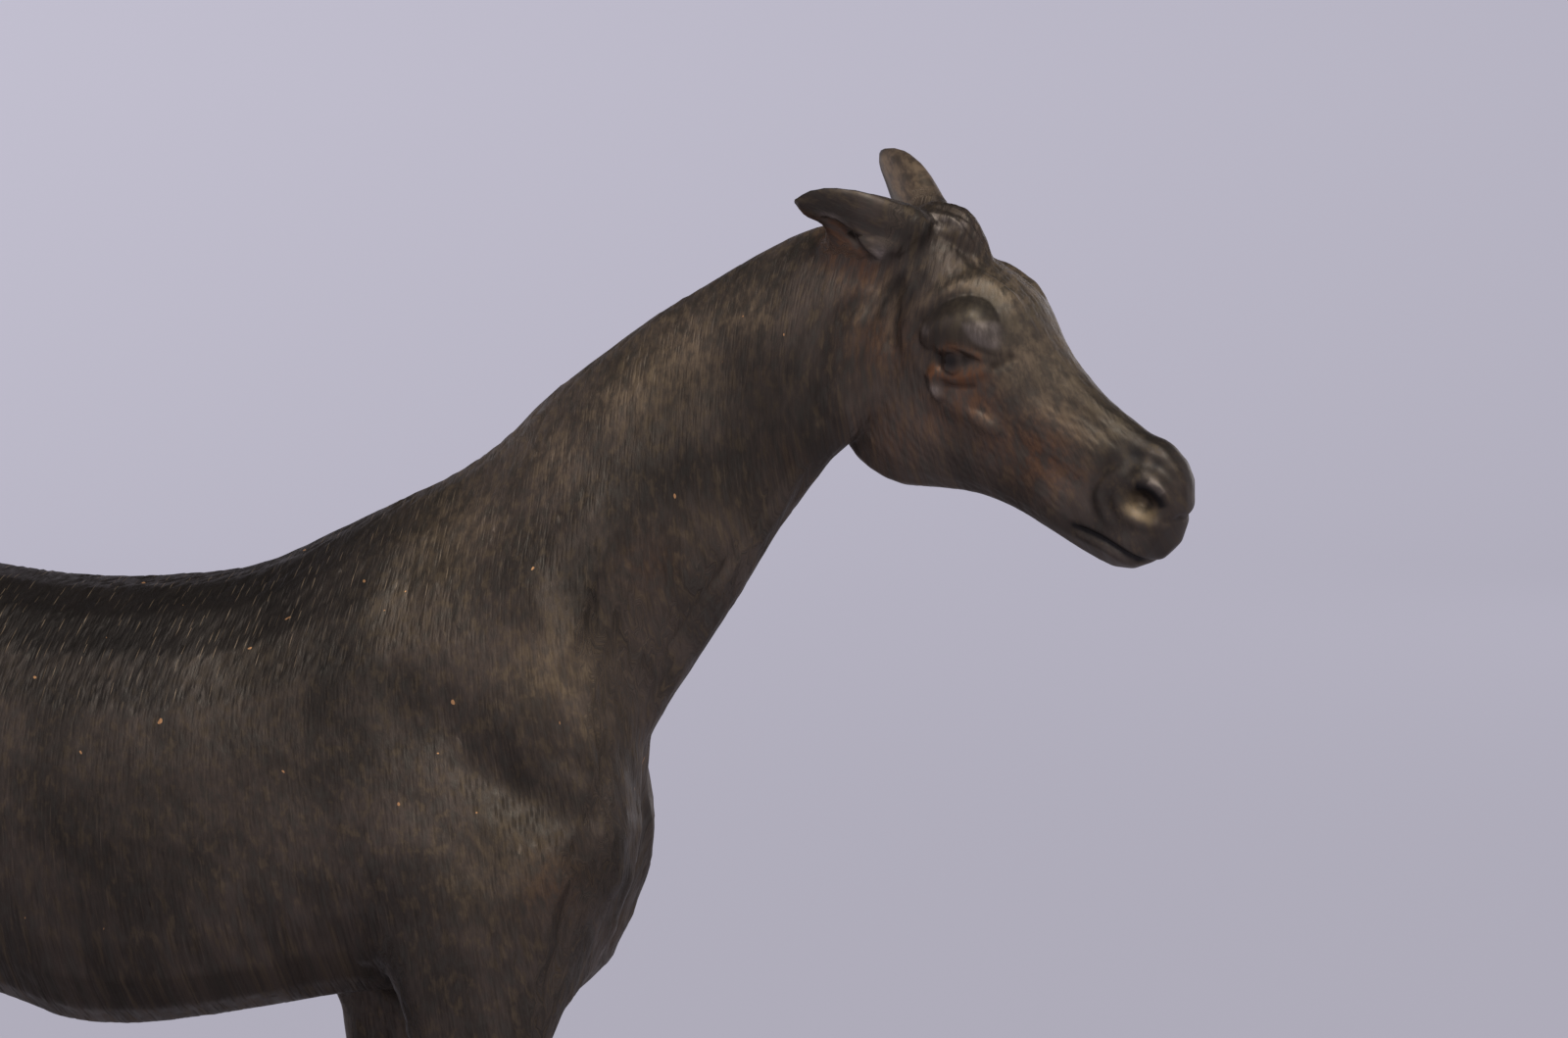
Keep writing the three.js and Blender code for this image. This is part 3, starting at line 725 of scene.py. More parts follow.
def tuft_heights(head_points):
    over = head_points[:, :2]
    on_top = ramp(head_points[:, 2], 1, 4) * ramp(head_points[:, 0], 19, 14)
    lift = np.zeros(len(head_points))
    for number in range(TUFT_LOCKS):
        lock = lock_line(number)
        groove = [(x, y + LOCK_TO_GROOVE) for x, y in lock]
        add_rolls(lift, over, [(lock, 0.5, 0.22)], fade=0.15)
        add_rolls(lift, over, [(groove, 0.45, -0.24)], fade=0.15)
    return lift * on_top


# %% [markdown]
# ## Ears
#
# The near ear is laid back, so the eye meets its round back first, and its opening shows only as a
# dark slit under the rolled edge. The solid's ear has one plain cup. Here the cup's upper part is
# filled up to the leaf's round back, and the hollow below it was closed before the remesh. The far
# ear is slimmed to the narrow leaf that stands up behind the tuft.

# %% Ears
LEAF_ALONG = [-4, 0, 4.8, 10.1, 15.4, 20.2, 23, 24]
LEAF_THICK = [4, 4.4, 4.2, 3.6, 2.8, 1.9, 1.1, 0.5]
LEAF_WIDE = [4.6, 5.7, 6.5, 6.9, 6.2, 4.4, 2, 0.8]
RIM_ALONG = [-2, 4, 10.5, 14.5, 18, 24]
RIM_ACROSS = [-5.5, -4.6, -1.4, 0, -0.3, -0.6]
RIM_ROUND = 1.1
FAR_ALONG = [4, 8, 11, 15.5, 19, 24]
FAR_DRAWN_IN = [0.1, 0.32, 0.42, 0.52, 0.5, 0.5]
FAR_REACH = 12


def fill_near_ear(points):
    """Gives the near ear a round back above its rim."""
    places = NEAR_EAR.local(points)
    x, y, z = places.T
    share = NEAR_EAR.mask(points) * ramp(y, -2.6, -1.4)
    thick = np.interp(x, LEAF_ALONG, LEAF_THICK)
    wide = np.interp(x, LEAF_ALONG, LEAF_WIDE)
    rim = np.interp(x, RIM_ALONG, RIM_ACROSS)
    round_back = thick * np.sqrt(np.clip(1 - (z / wide) ** 2, 0, 1))
    above = ramp(z, rim - RIM_ROUND, rim + 0.3)
    places[:, 1] = y + share * above * np.clip(round_back - y, 0, None)
    return NEAR_EAR.back(places)


def slim_far_ear(points):
    """Draws in the far ear's rear edge, most in its upper half."""
    places = FAR_EAR.local(points)
    x, y, z = places.T
    share = ramp(x, 3, 8) * tip_share(x) * ramp(np.hypot(y, z), FAR_REACH, FAR_REACH - 1)
    places[:, 2] *= 1 - share * np.interp(x, FAR_ALONG, FAR_DRAWN_IN) * (z > 0)
    return FAR_EAR.back(places)


GAP_UNDER_EAR = [(144, -11, 280), (148, -12, 277), (152, -12.4, 274.6), (157, -12.4, 273.6)]
EAR_BASE_EDGE = [(166, -8, 285), (166.5, -10.5, 281), (164, -12.5, 276)]
GAP_REACH = 5
GAP_WIPES = 120
EAR_WIPES = 14
EDGE_WIPES = 28


def wiped_along(points, line, reach, core, passes):
    """Lets the skin go slack within reach of a line, and fully so within its core."""
    away, _ = away_from_curve(points, curve(line))
    return wiped(points, ramp(away, reach, core), passes)


skin = wiped_along(skin, GAP_UNDER_EAR, GAP_REACH, 0.5 * GAP_REACH, GAP_WIPES)
skin = slim_far_ear(fill_near_ear(skin))
skin = wiped(skin, 0.6 * ear_mask(skin), EAR_WIPES)
skin = wiped_along(skin, GAP_UNDER_EAR, 0.8 * GAP_REACH, 0.3 * GAP_REACH, EDGE_WIPES)
skin = wiped_along(skin, EAR_BASE_EDGE, GAP_REACH, 0.3 * GAP_REACH, EDGE_WIPES)
print("Ears shaped; their tips reach", round(float(skin[:, 2].max()), 1), "mm above the floor")

# %% [markdown]
# Now the head is carved in order: first the domes of the eyes, wiped a little so that they run into
# the face, then rims, nostrils, bones, tuft and the near ear's edge, and last a light wipe over the
# nostrils.

# %% Carve the head
EDGE_ABOVE = 0.3
CREASE_BELOW = 1.1
DOME_WIPES = 14
FINISH_WIPES = 4


def ear_heights(points):
    """A rolled edge along the near ear's rim, with a dark crease below it."""
    local = NEAR_EAR.local(points)
    rim = list(zip(RIM_ALONG, RIM_ACROSS))[1:-1]
    edge = [(x, z + EDGE_ABOVE) for x, z in rim]
    crease = [(x, z - CREASE_BELOW) for x, z in rim]
    lift = np.zeros(len(points))
    add_rolls(lift, local[:, [0, 2]], [(edge, 0.8, 0.5), (crease, 0.7, -0.8)])
    return lift * NEAR_EAR.mask(points) * ramp(local[:, 1], -0.5, 0.5)


place_in_head = in_head(skin)
skin = raise_skin(skin, dome_heights(place_in_head) * head_mask(place_in_head))
skin = wiped(skin, 0.7 * window(in_head(skin), **EYE_WINDOW), DOME_WIPES)
place_in_head = in_head(skin)
face = eye_heights(place_in_head) + muzzle_heights(place_in_head) + bone_heights(place_in_head)
on_ear = ear_mask(skin)
heights = (face * head_mask(place_in_head) + tuft_heights(place_in_head)) * (1 - on_ear) + ear_heights(skin)
skin = raise_skin(skin, heights)
skin = wiped(skin, 0.5 * window(in_head(skin), **NOSTRIL_WINDOW), FINISH_WIPES)
print("Face carved: from", round(float(heights.min()), 2), "to", round(float(heights.max()), 2), "mm")

# %% [markdown]
# ## Muscles and folds
#
# Under the hair the modeller showed the shoulder blade's front edge, the fold behind the shoulder,
# the upper arm, and long loose folds down the throat. The solid holds the large ones. Here they are
# drawn more clearly in the side view (x forward, z up), and the breast is drawn in until the throat
# meets it in a notch.

# %% Body forms
SHOULDER_FRONT = [(79, 220), (85.3, 210), (91.2, 201.8), (99.1, 190.1), (106, 174), (108.5, 164)]
BEHIND_SHOULDER = [(62, 190), (71, 182), (81, 173), (92, 165), (101, 157), (107, 149)]
BLADE_REAR = [(65, 218), (61, 203), (60.5, 187), (65, 171)]
UPPER_ARM = [(56, 162), (66, 153), (76, 143), (84, 130)]
ELBOW_CREASE = [(54, 134), (57, 127), (60, 118)]
NECK_CREST_LINE = [(77.6, 217), (97.7, 233), (117.7, 247), (137.5, 259)]
THROAT_FOLDS = [
    [(147, 237), (139, 222), (128, 205), (117, 189)],
    [(143, 238), (133, 221), (121, 203), (111.5, 186)],
    [(141, 232), (131, 214), (119.5, 196), (111, 179)],
]
MUSCLES = [
    (SHOULDER_FRONT, 6, 0.8), (BEHIND_SHOULDER, 6.5, -1.5), (BLADE_REAR, 4.5, -0.6), (UPPER_ARM, 8, 0.8),
    (ELBOW_CREASE, 3, -1.2), (NECK_CREST_LINE, 5, -0.8),
]


def body_heights(points):
    """Muscles and throat folds, each fold with a groove behind it."""
    side_view = points[:, [0, 2]]
    lift = np.zeros(len(points))
    add_rolls(lift, side_view, MUSCLES)
    for fold in THROAT_FOLDS:
        groove = [(x - 2.6, z - 0.6) for x, z in fold]
        add_rolls(lift, side_view, [(fold, 1.3, 0.7), (groove, 1.3, -0.7)])
    return lift * off_middle(points, 2, 6)


# How far the breast and the throat are drawn in, in millimetres, at heights above the floor.
FRONT_HEIGHTS = [112, 126, 132, 141, 150, 159, 171, 176, 181, 190, 200, 216, 228]
FRONT_DRAWN_IN = [0, 0.6, 1.7, 2.3, 1.5, 0.8, 2.3, 3.1, 2.3, 2, 1.9, 1.2, 0]
FRONT_START = 84


def front_heights(points, normals):
    """Draws in the skin that faces forward."""
    facing = ramp(normals[:, 0], 0.1, 0.7) * ramp(points[:, 0], FRONT_START, FRONT_START + 8)
    return -facing * np.interp(points[:, 2], FRONT_HEIGHTS, FRONT_DRAWN_IN)


# Lines of the front view, as (distance from the middle plane, height).
BREAST_FOLD = [(3, 172), (8, 160), (12, 146), (11, 132)]
BREAST_FURROW = [(0, 178), (0.2, 160), (0.2, 142), (0, 126)]


def breast_heights(points):
    """Folds seen from the front, each side of the breast's middle furrow."""
    lift = np.zeros(len(points))
    add_rolls(lift, np.abs(points[:, [1, 2]]), [(BREAST_FOLD, 2.4, 0.8), (BREAST_FURROW, 1.6, -0.8)])
    return lift * ramp(points[:, 0], 96, 104)


# %% [markdown]
# The parts that the photograph leaves out are modelled in the same hand, and plainer: a knee with its
# two small bones, a fetlock, tendons behind the cannon, a coronet above each hoof, and the hock's
# point and crease.

# %% Legs
FORELEG = {
    "pivot": 165,
    "near": {"axis": 76, "step": 1, "hand": -1},
    "far": {"axis": 62, "step": -24, "hand": 1},
}
HINDLEG = {
    "pivot": 172,
    "near": {"axis": -93, "step": -14, "hand": -1},
    "far": {"axis": -93, "step": 22, "hand": 1},
}
LEG_TOP = 118
LEG_REACH = 42
# Rolls in a leg's own side view: x from its axis, z above the sole.
FORELEG_FORMS = [
    ([(5.5, 79), (7, 72), (6.5, 64)], 2.2, 0.5), ([(-6, 76), (-7, 71), (-6, 66)], 2, 0.8),
    ([(-1, 80), (1.5, 72), (0, 62)], 1.6, -0.5), ([(-1.6, 60), (-1.8, 46), (-2.2, 34)], 1.1, -0.5),
    ([(0, 112), (-1, 100), (-1, 86)], 2, -0.5),
]
HINDLEG_FORMS = [
    ([(-9.5, 84), (-10.4, 79), (-9, 72)], 1.8, 0.7), ([(-2, 92), (-3, 82), (-2, 72)], 1.8, -0.6),
    ([(5, 84), (4, 76), (4.4, 68)], 1.8, 0.5), ([(-1, 64), (-1.2, 48), (-1.4, 36)], 1.1, -0.5),
    ([(34, 112), (22, 98), (8, 90)], 2.6, -0.5),
]
FORE_CORONET = ([(-1, 15.5), (6, 14.2), (14, 12.6)], 0.9, 0.5)
HIND_CORONET = ([(0, 15.5), (7, 14.2), (15, 12.6)], 0.9, 0.5)
FETLOCK = {"at": (-5.6, 27), "radii": (2.6, 3), "height": 0.6}


def along_leg(points, pivot, axis, step, hand):
    """A leg's side view with its swing taken out, and a mask for that one leg."""
    height = points[:, 2] - SOLE
    swing = axis + step * np.clip(1 - height / pivot, 0, None)
    straight = np.column_stack([points[:, 0] - swing, height])
    mask = ramp(height, LEG_TOP, LEG_TOP - 14) * (np.abs(points[:, 0] - swing - 6) < LEG_REACH)
    return straight, mask * (hand * points[:, 1] > 2)


def one_leg(flat, forms, coronet):
    lift = np.zeros(len(flat))
    add_rolls(lift, flat, forms)
    lift += swell(flat, **FETLOCK)
    add_rolls(lift, flat, [coronet], fade=0)
    return lift


def leg_heights(points):
    lift = np.zeros(len(points))
    kinds = ((FORELEG, FORELEG_FORMS, FORE_CORONET), (HINDLEG, HINDLEG_FORMS, HIND_CORONET))
    for leg, forms, coronet in kinds:
        for place in (leg["near"], leg["far"]):
            flat, mask = along_leg(points, leg["pivot"], **place)
            lift += one_leg(flat, forms, coronet) * mask
    return lift


shape_clay(skin)
forms = body_heights(skin) + front_heights(skin, outward()) + breast_heights(skin) + leg_heights(skin)
skin = raise_skin(skin, forms * (1 - on_head))
print("Body carved: from", round(float(forms.min()), 2), "to", round(float(forms.max()), 2), "mm")

# %% [markdown]
# ## The lie of the coat
#
# The whole skin is covered with short chisel strokes that stand for hair. They lean forward on the
# back and the neck, stand upright on the barrel, and fan out over the face. A table of a few places
# says how far they lean there, and every other place takes a blend of its neighbours.

# %% Lean of the hair
# At places of the side view (x, z): how far the hair leans forward of upright, in degrees.
COAT_LEAN = [
    (-104, 190, 8), (-84, 206, 22), (-60, 210, 28), (-85, 150, 5), (-45, 150, 8), (-44, 180, 14),
    (-20, 206, 28), (6, 204, 28), (36, 210, 20), (6, 176, 8), (6, 148, 0), (6, 122, -4), (62, 216, 8),
    (76, 200, -10), (96, 176, -14), (84, 150, -8), (72, 130, -4), (40, 170, -2), (96, 228, 3),
    (120, 248, 12), (138, 258, 22), (128, 222, 3), (110, 196, -6), (104, 160, -10), (148, 240, 2),
    (150, 270, 30), (154, 252, -4), (165, 266, 22), (160, 244, -18), (166, 234, -32), (178, 230, -50),
    (178, 246, -42), (186, 264, -26), (198, 242, -48), (210, 232, -42), (172, 284, 18), (72, 60, 0),
    (-94, 60, 0),
]
COAT_BLEND = 13.0
FAR_WEIGHT = 1e-4
LEVEL_EASE = 0.12


def hair_lean(side_view):
    """The hair's lean at places of the side view, in radians."""
    weights = np.zeros(len(side_view))
    lean = np.zeros(len(side_view))
    for *at, degrees in COAT_LEAN:
        away = ((side_view - at) ** 2).sum(1) / COAT_BLEND**2
        weight = np.exp(-away) + FAR_WEIGHT / (1 + away) ** 2
        weights += weight
        lean += weight * math.radians(degrees)
    return lean / weights


def coat_direction(points, normals):
    """The way hair points on the skin: a mix of straight up the slope and straight forward."""
    lean = hair_lean(points[:, [0, 2]])[:, None]
    upward = np.array([0.0, 0.0, 1.0]) - normals * normals[:, 2:]
    upward /= np.linalg.norm(upward, axis=1)[:, None] + LEVEL_EASE
    forward = np.array([1.0, 0.0, 0.0]) - normals * normals[:, :1]
    lie = np.cos(lean) * upward + np.sin(lean) * forward
    return lie / np.linalg.norm(lie, axis=1)[:, None]


middle_lean = float(np.degrees(hair_lean(np.array([[40.0, 170.0]])))[0])
print("On the barrel the hair leans", round(middle_lean, 1), "degrees forward of upright")

# %% [markdown]
# The finest hair is left to the material, and its textures must follow the same lie. So the side view
# is combed: two height maps are fitted to a grid, one that climbs across the hair and one that climbs
# along it, each as close to the wanted slope as one smooth map can be. Together they are a flat
# pattern laid along the coat, and a texture that reads them instead of x and z runs with the hair
# everywhere.

# %% Comb the side view
COMB_STEP = 8.0
COMB_X = np.arange(-126.0, 234.0, COMB_STEP)
COMB_Z = np.arange(6.0, 310.0, COMB_STEP)
ANCHOR = 1e-6


def fitted_map(slope_x, slope_z):
    """The map whose slopes come closest to the wanted ones, by least squares."""
    shape = slope_x.shape
    numbers = np.arange(slope_x.size).reshape(shape)
    steps = [
        (numbers[:-1], numbers[1:], (slope_x[:-1] + slope_x[1:]) / 2),
        (numbers[:, :-1], numbers[:, 1:], (slope_z[:, :-1] + slope_z[:, 1:]) / 2),
    ]
    matrix = np.eye(slope_x.size) * ANCHOR
    rises = np.zeros(slope_x.size)
    for low, high, slope in steps:
        low, high, rise = low.ravel(), high.ravel(), slope.ravel() * COMB_STEP
        for a, b, sign in ((low, high, -1), (high, low, 1)):
            np.add.at(matrix, (a, a), 1)
            np.add.at(matrix, (a, b), -1)
            np.add.at(rises, a, sign * rise)
    return np.linalg.solve(matrix, rises).reshape(shape)


def read_map(grid, side_view):
    """The map's height at places between its grid points."""
    column = np.clip((side_view[:, 0] - COMB_X[0]) / COMB_STEP, 0, len(COMB_X) - 1.001)
    row = np.clip((side_view[:, 1] - COMB_Z[0]) / COMB_STEP, 0, len(COMB_Z) - 1.001)
    i, j = column.astype(int), row.astype(int)
    s, t = column - i, row - j
    lower = grid[i, j] * (1 - s) + grid[i + 1, j] * s
    upper = grid[i, j + 1] * (1 - s) + grid[i + 1, j + 1] * s
    return lower * (1 - t) + upper * t


grid_places = np.stack(np.meshgrid(COMB_X, COMB_Z, indexing="ij"), axis=-1)
grid_lean = hair_lean(grid_places.reshape(-1, 2)).reshape(grid_places.shape[:2])
across_map = fitted_map(np.cos(grid_lean), -np.sin(grid_lean))
along_map = fitted_map(np.sin(grid_lean), np.cos(grid_lean))
print("Combed maps fitted on a grid of", across_map.shape)

# %% [markdown]
# ## Chisel strokes
#
# The strokes that catch the light are cut one by one, as on the real bronze. Seeds are thrown on the
# skin, and a seed too close to an earlier one is dropped. Each seed becomes a shallow furrow along
# the coat with a faint burr on both sides. The strokes are longest and farthest apart on the back,
# close on barrel, neck and shoulder, and faint on the face. Legs and hindquarters are guessed, so
# they get a plainer coat.

# %% Throw the seeds
STROKES = {
    "side": {"length": 5.4, "apart": 1.5, "width": 0.45, "depth": 0.15},
    "back": {"length": 5.6, "apart": 1.9, "width": 0.42, "depth": 0.2},
    "face": {"length": 3.4, "apart": 1.35, "width": 0.4, "depth": 0.09},
    "rear": {"length": 5.2, "apart": 2.1, "width": 0.55, "depth": 0.16},
    "leg": {"length": 4.2, "apart": 2.0, "width": 0.5, "depth": 0.1},
}
CROWDING = 0.7
BACK_TURN = 0.35
BACK_FRONT = 150
REAR_EDGE = -24
THIGH_TOP = 106
BARE_EYE = {"at": (24, -3.5), "radii": (9.5, 9.5)}
BARE_MUZZLE = 59
BARE_HOOF = 23
# Seeds are filed in cells (in millimetres) no smaller than a stroke's reach.
CELL = 4.2
NEXT_CELLS = [(i, j, k) for i in (-1, 0, 1) for j in (-1, 0, 1) for k in (-1, 0, 1)]
SEED_TRIES = 130000
COAT_SEED = 11


def stroke_kinds(points, normals):
    """Which sort of stroke belongs at each place, with an empty name where there is none."""
    heads = in_head(points)
    face = (heads[:, 0] > 0) & (heads[:, 2] > JAW_DEPTH)
    out = np.hypot((heads[:, 0] - BARE_EYE["at"][0]) / BARE_EYE["radii"][0],
                   (heads[:, 2] - BARE_EYE["at"][1]) / BARE_EYE["radii"][1])
    kinds = np.full(len(points), "side", dtype=object)
    kinds[(normals[:, 2] > BACK_TURN) & (points[:, 0] < BACK_FRONT)] = "back"
    kinds[points[:, 0] < REAR_EDGE] = "rear"
    kinds[points[:, 2] < THIGH_TOP + SOLE] = "leg"
    kinds[face] = "face"
    bare = face & ((out < 1) | (heads[:, 0] > BARE_MUZZLE))
    kinds[bare | (ear_mask(points) > 0.3) | (points[:, 2] < BARE_HOOF)] = ""
    return kinds


def thrown_seeds(points, normals, tries, chance):
    """Seeds for strokes, each far enough from its neighbours across and along the coat."""
    order = chance.choice(len(points), tries, replace=False)
    places, ups = points[order], normals[order]
    lies = coat_direction(places, ups)
    kinds = stroke_kinds(places, ups)
    homes = [tuple(home) for home in (places // CELL).astype(int).tolist()]
    taken = {}
    kept = []
    for k, kind in enumerate(kinds):
        if not kind:
            continue
        style = STROKES[kind]
        x, y, z = homes[k]
        close = [j for home in NEXT_CELLS for j in taken.get((x + home[0], y + home[1], z + home[2]), ())]
        if close:
            gap = places[close] - places[k]
            along = gap @ lies[k]
            across = (gap**2).sum(1) - along**2
            if ((along / style["length"]) ** 2 + across / style["apart"] ** 2).min() < CROWDING:
                continue
        taken.setdefault(homes[k], []).append(k)
        kept.append(k)
    return places[kept], ups[kept], lies[kept], kinds[kept]


chance = np.random.default_rng(COAT_SEED)
shape_clay(skin)
normals = outward()
seeds, seed_ups, seed_lies, kinds = thrown_seeds(skin, normals, SEED_TRIES, chance)
print("Strokes to cut:", len(seeds))

# %% [markdown]
# Cutting a stroke means finding the skin's points near its seed. The points are first sorted into
# boxes a few millimetres wide, so that each stroke looks into a few boxes instead of at half a
# million points.

# %% Cut the strokes
BOX = 3.5
BURR = 0.35
SKIN_DEPTH = 2
DEEPEST = 0.5
HIGHEST = 0.25


def boxed(points):
    """The points' numbers sorted by box, and where each box starts and ends."""
    corner = points.min(0)
    cells = ((points - corner) // BOX).astype(np.int64)
    spans = cells.max(0) + 2
    keys = (cells[:, 0] * spans[1] + cells[:, 1]) * spans[2] + cells[:, 2]
    order = np.argsort(keys, kind="stable")
    edges = np.searchsorted(keys[order], np.arange(spans.prod() + 1))
    return order, edges, corner, spans


def near_box(place, order, edges, corner, spans):
    """The numbers of the points in a place's box and in those round it."""
    x, y, z = ((place - corner) // BOX).astype(int)
    runs = []
    for i in range(max(x - 1, 0), min(x + 2, spans[0])):
        for j in range(max(y - 1, 0), min(y + 2, spans[1])):
            start = (i * spans[1] + j) * spans[2] + max(z - 1, 0)
            stop = (i * spans[1] + j) * spans[2] + min(z + 2, spans[2])
            runs.append(order[edges[start]:edges[stop]])
    return np.concatenate(runs)


def stroke_profile(across, along, width, length):
    """A furrow's depth: 1 in its middle, fading to a point at both ends, with a burr below 0 beside it."""
    taper = np.clip(1 - np.abs(along / (0.5 * length)) ** 2.2, 0, 1)
    furrow = np.exp(-((across / width) ** 2))
    burr = np.exp(-(((np.abs(across) - 2 * width) / width) ** 2))
    return taper * (furrow - BURR * burr)


boxes = boxed(skin)
cut = np.zeros(count)
for seed, up, lie, kind in zip(seeds, seed_ups, seed_lies, kinds):
    style = STROKES[kind]
    stretch, force, bend = chance.uniform((0.7, 0.55, -0.05), (1.3, 1.3, 0.05))
    near = near_box(seed, *boxes)
    gap = skin[near] - seed
    same_side = (np.abs(gap @ up) < SKIN_DEPTH) & (normals[near] @ up > 0.4)
    near, gap = near[same_side], gap[same_side]
    along = gap @ lie
    across = gap @ np.cross(up, lie) + bend * along**2
    profile = stroke_profile(across, along, style["width"], style["length"] * stretch)
    cut[near] -= style["depth"] * force * profile

cut = np.clip(cut, -DEEPEST, HIGHEST)
uncut = skin
skin = raise_skin(skin, cut)
print("Strokes cut; the deepest goes", round(float(-cut.min()), 2), "mm into the skin")

# %% [markdown]
# ## Down to fewer triangles
#
# The clay has over a million triangles, and most of them lie on flat places. The Decimate modifier
# folds away the edges that matter least, so the furrows and the face keep their net and the smooth
# places lose theirs. Before that, each point notes how hollow its place is: how far it lies below its
# surroundings, smoothed.

# %% Decimate
TRIANGLES = 196000
HEAD_KEEP = 3.0
HOLLOW_PASSES = 60
PLAIN_BELOW = SOLE + 60


def put(mesh, name, kind, values):
    """Stores one value, or one vector, for each point."""
    layer = mesh.attributes.get(name) or mesh.attributes.new(name, kind, "POINT")
    field = "vector" if kind == "FLOAT_VECTOR" else "value"
    layer.data.foreach_set(field, np.asarray(values, np.float32).ravel())


def folded_away(clay, triangles):
    """The clay's mesh, brought down to so many triangles, with most of them kept for the head."""
    keep = clay.vertex_groups.new(name="keep")
    keep.add(np.flatnonzero(head_mask(in_head(skin)) > 0.5).tolist(), 1.0, "REPLACE")
    keep.add(np.flatnonzero(skin[:, 2] < PLAIN_BELOW).tolist(), 0.0, "REPLACE")
    fold = clay.modifiers.new("fold_away", "DECIMATE")
    fold.ratio = triangles / (2 * len(clay.data.polygons))
    fold.use_collapse_triangulate = True
    fold.vertex_group = "keep"
    fold.invert_vertex_group = True
    fold.vertex_group_factor = HEAD_KEEP
    mesh = evaluated_mesh(clay)
    clay.modifiers.clear()
    clay.vertex_groups.clear()
    mesh.shade_smooth()
    return mesh


hollow = ((smoothed(uncut, HOLLOW_PASSES) - uncut) * normals).sum(1)
shape_clay(skin)
put(clay.data, "hollow", "FLOAT", hollow)
cast = folded_away(clay, TRIANGLES)
clay.data = cast
print("The casting has", len(cast.polygons), "triangles")

# %% [markdown]
# ## Where the patina changes, and where light and shade are painted
#
# A patina isn't one colour. It is rusty on the cheek and in folds, olive on the nose, golden where hands
# have rubbed the shoulder, and pale dust has stayed in the furrows. Light and shade are painted in too:
# the top of the back is painted nearly black, painted shadows lie over the lids and in creases, and
# painted highlights and a painted reflection sit on lids, rims, ears and tuft.
# Soft masks are worked out once for each point and stored as attributes, which the material reads.
# The head comes first: its places are in the head's own frame.

# %% Painting tools
def spots(flat, places):
    """The strongest of several soft spots, each (across, up, radius, strength)."""
    mask = np.zeros(len(flat))
    for *at, radius, strength in places:
        mask = np.maximum(mask, swell(flat, at, (radius, radius), strength))
    return mask


def lines(flat, paths):
    """The strongest of several soft lines, each (points, half width, strength)."""
    mask = np.zeros(len(flat))
    for points, half_width, strength in paths:
        mask = np.maximum(mask, roll(flat, points, half_width, strength, 0.1))
    return mask


final = read(cast.vertices, "co", 3) * MM
final_up = read(cast.vertex_normals, "vector", 3)
final_head = in_head(final)
side_view = final[:, [0, 2]]
side_face = final_head[:, [0, 2]]
face_share = head_mask(final_head)
body_share = 1 - face_share
near_ear = NEAR_EAR.mask(final)
far_ear = FAR_EAR.mask(final)
on_ears = ear_mask(final)
outer = off_middle(final_head, 3, 5) * face_share * (1 - on_ears)
muzzle_share = ramp(final_head[:, 0], 56, 63) * face_share
print("To paint:", len(final), "points")

# %% Paint the head
# Painted shadow: a dark band along the top of the eye's lid, under the brow.
LID_TOP = [(15.4, -8.4), (15.2, -4), (16.4, 0.6), (19.4, 4), (24, 5), (29, 2.8)]
# Painted reflection: a pale patch on the front of the upper lid.
LID_REFLECTION = [
    (20.6, 0), (22.8, 3), (25.8, 4.8), (28.8, 3.4), (30.4, 1), (28.6, -0.9), (25.6, -1.8), (22.8, -1.2),
]
TEMPLE_TAN = [(5.4, -4), (7.4, -8), (10.4, -12.4), (14, -16)]
TEMPLE_DARK = [(4.7, -1.8), (5.6, -6.2), (6.5, -10.6), (8.5, -13.9)]
TEMPLE_EDGE = [(8.4, 1), (9.4, -4.2), (10.8, -8.2), (13, -11.6)]
# A painted shadow under the nostril's ring, and a painted highlight along its top.
UNDER_RING = [(67.6, -0.8), (70, 0.6), (73, 0.9), (75, 0)]
RING_GLINT = [(68.8, 2.2), (70.8, 2.7), (73, 2.4)]
RUST_SPOTS = [
    (24.2, -12, 1.5, 1), (33, -12, 6, 0.7), (12, -16, 7, 0.5), (50, -10, 8, 0.7), (60, -9, 4, 0.6),
    (-2, -12, 6, 0.4), (42, -14, 6, 0.5), (30, -20, 6, 0.4), (26, -30, 8, 0.35),
]
RUST_LINES = [(UPPER_RIM, 1.2, 0.9), (LOWER_RIM, 1.8, 0.9)]
TAN_SPOTS = [
    (16, 8, 5, 0.3), (34, 3, 6, 0.6), (46, 2, 8, 0.4), (37, -14, 2.6, 0.4), (6, -8, 4, 0.4), (42, 8, 9, 0.4),
    (54, 4, 6, 0.2),
]
TAN_LINES = [(BROW, 2.2, 0.55), (TEMPLE_TAN, 1.3, 0.6)]
# Painted highlights: small pale spots at the lid's rear end and on the fold below the eye.
HIGHLIGHT_SPOTS = [(16.6, -7.4, 1, 0.6), (26.2, -15, 1.1, 0.8)]
# The eyeball painted dark, and painted shade in two dents on the nose and along the lines below: over the
# lid, under the nostril's ring, in the mouth and along the temple.
DARK_EYE_AND_SHADE_SPOTS = [(*EYEBALL["at"], 2.4, 1), (63.1, 3.2, 1.8, 0.7), (67.7, 4.7, 1, 0.7)]
PAINTED_SHADE_LINES = [
    (LID_TOP, 2, 0.6), (MOUTH_LINE, 0.8, 0.8), (UNDER_RING, 1.1, 0.8), (TEMPLE_DARK, 0.8, 0.5),
    (TEMPLE_EDGE, 0.8, 0.45),
]
NOSTRIL_GOLD = [(69.8, -3.6, 2, 1), (71.6, -3.4, 2.2, 1), (73.6, -2.8, 2, 1)]

rust = spots(side_face, RUST_SPOTS) + lines(side_face, RUST_LINES)
tan_and_painted_light = np.maximum(spots(side_face, TAN_SPOTS), lines(side_face, TAN_LINES))
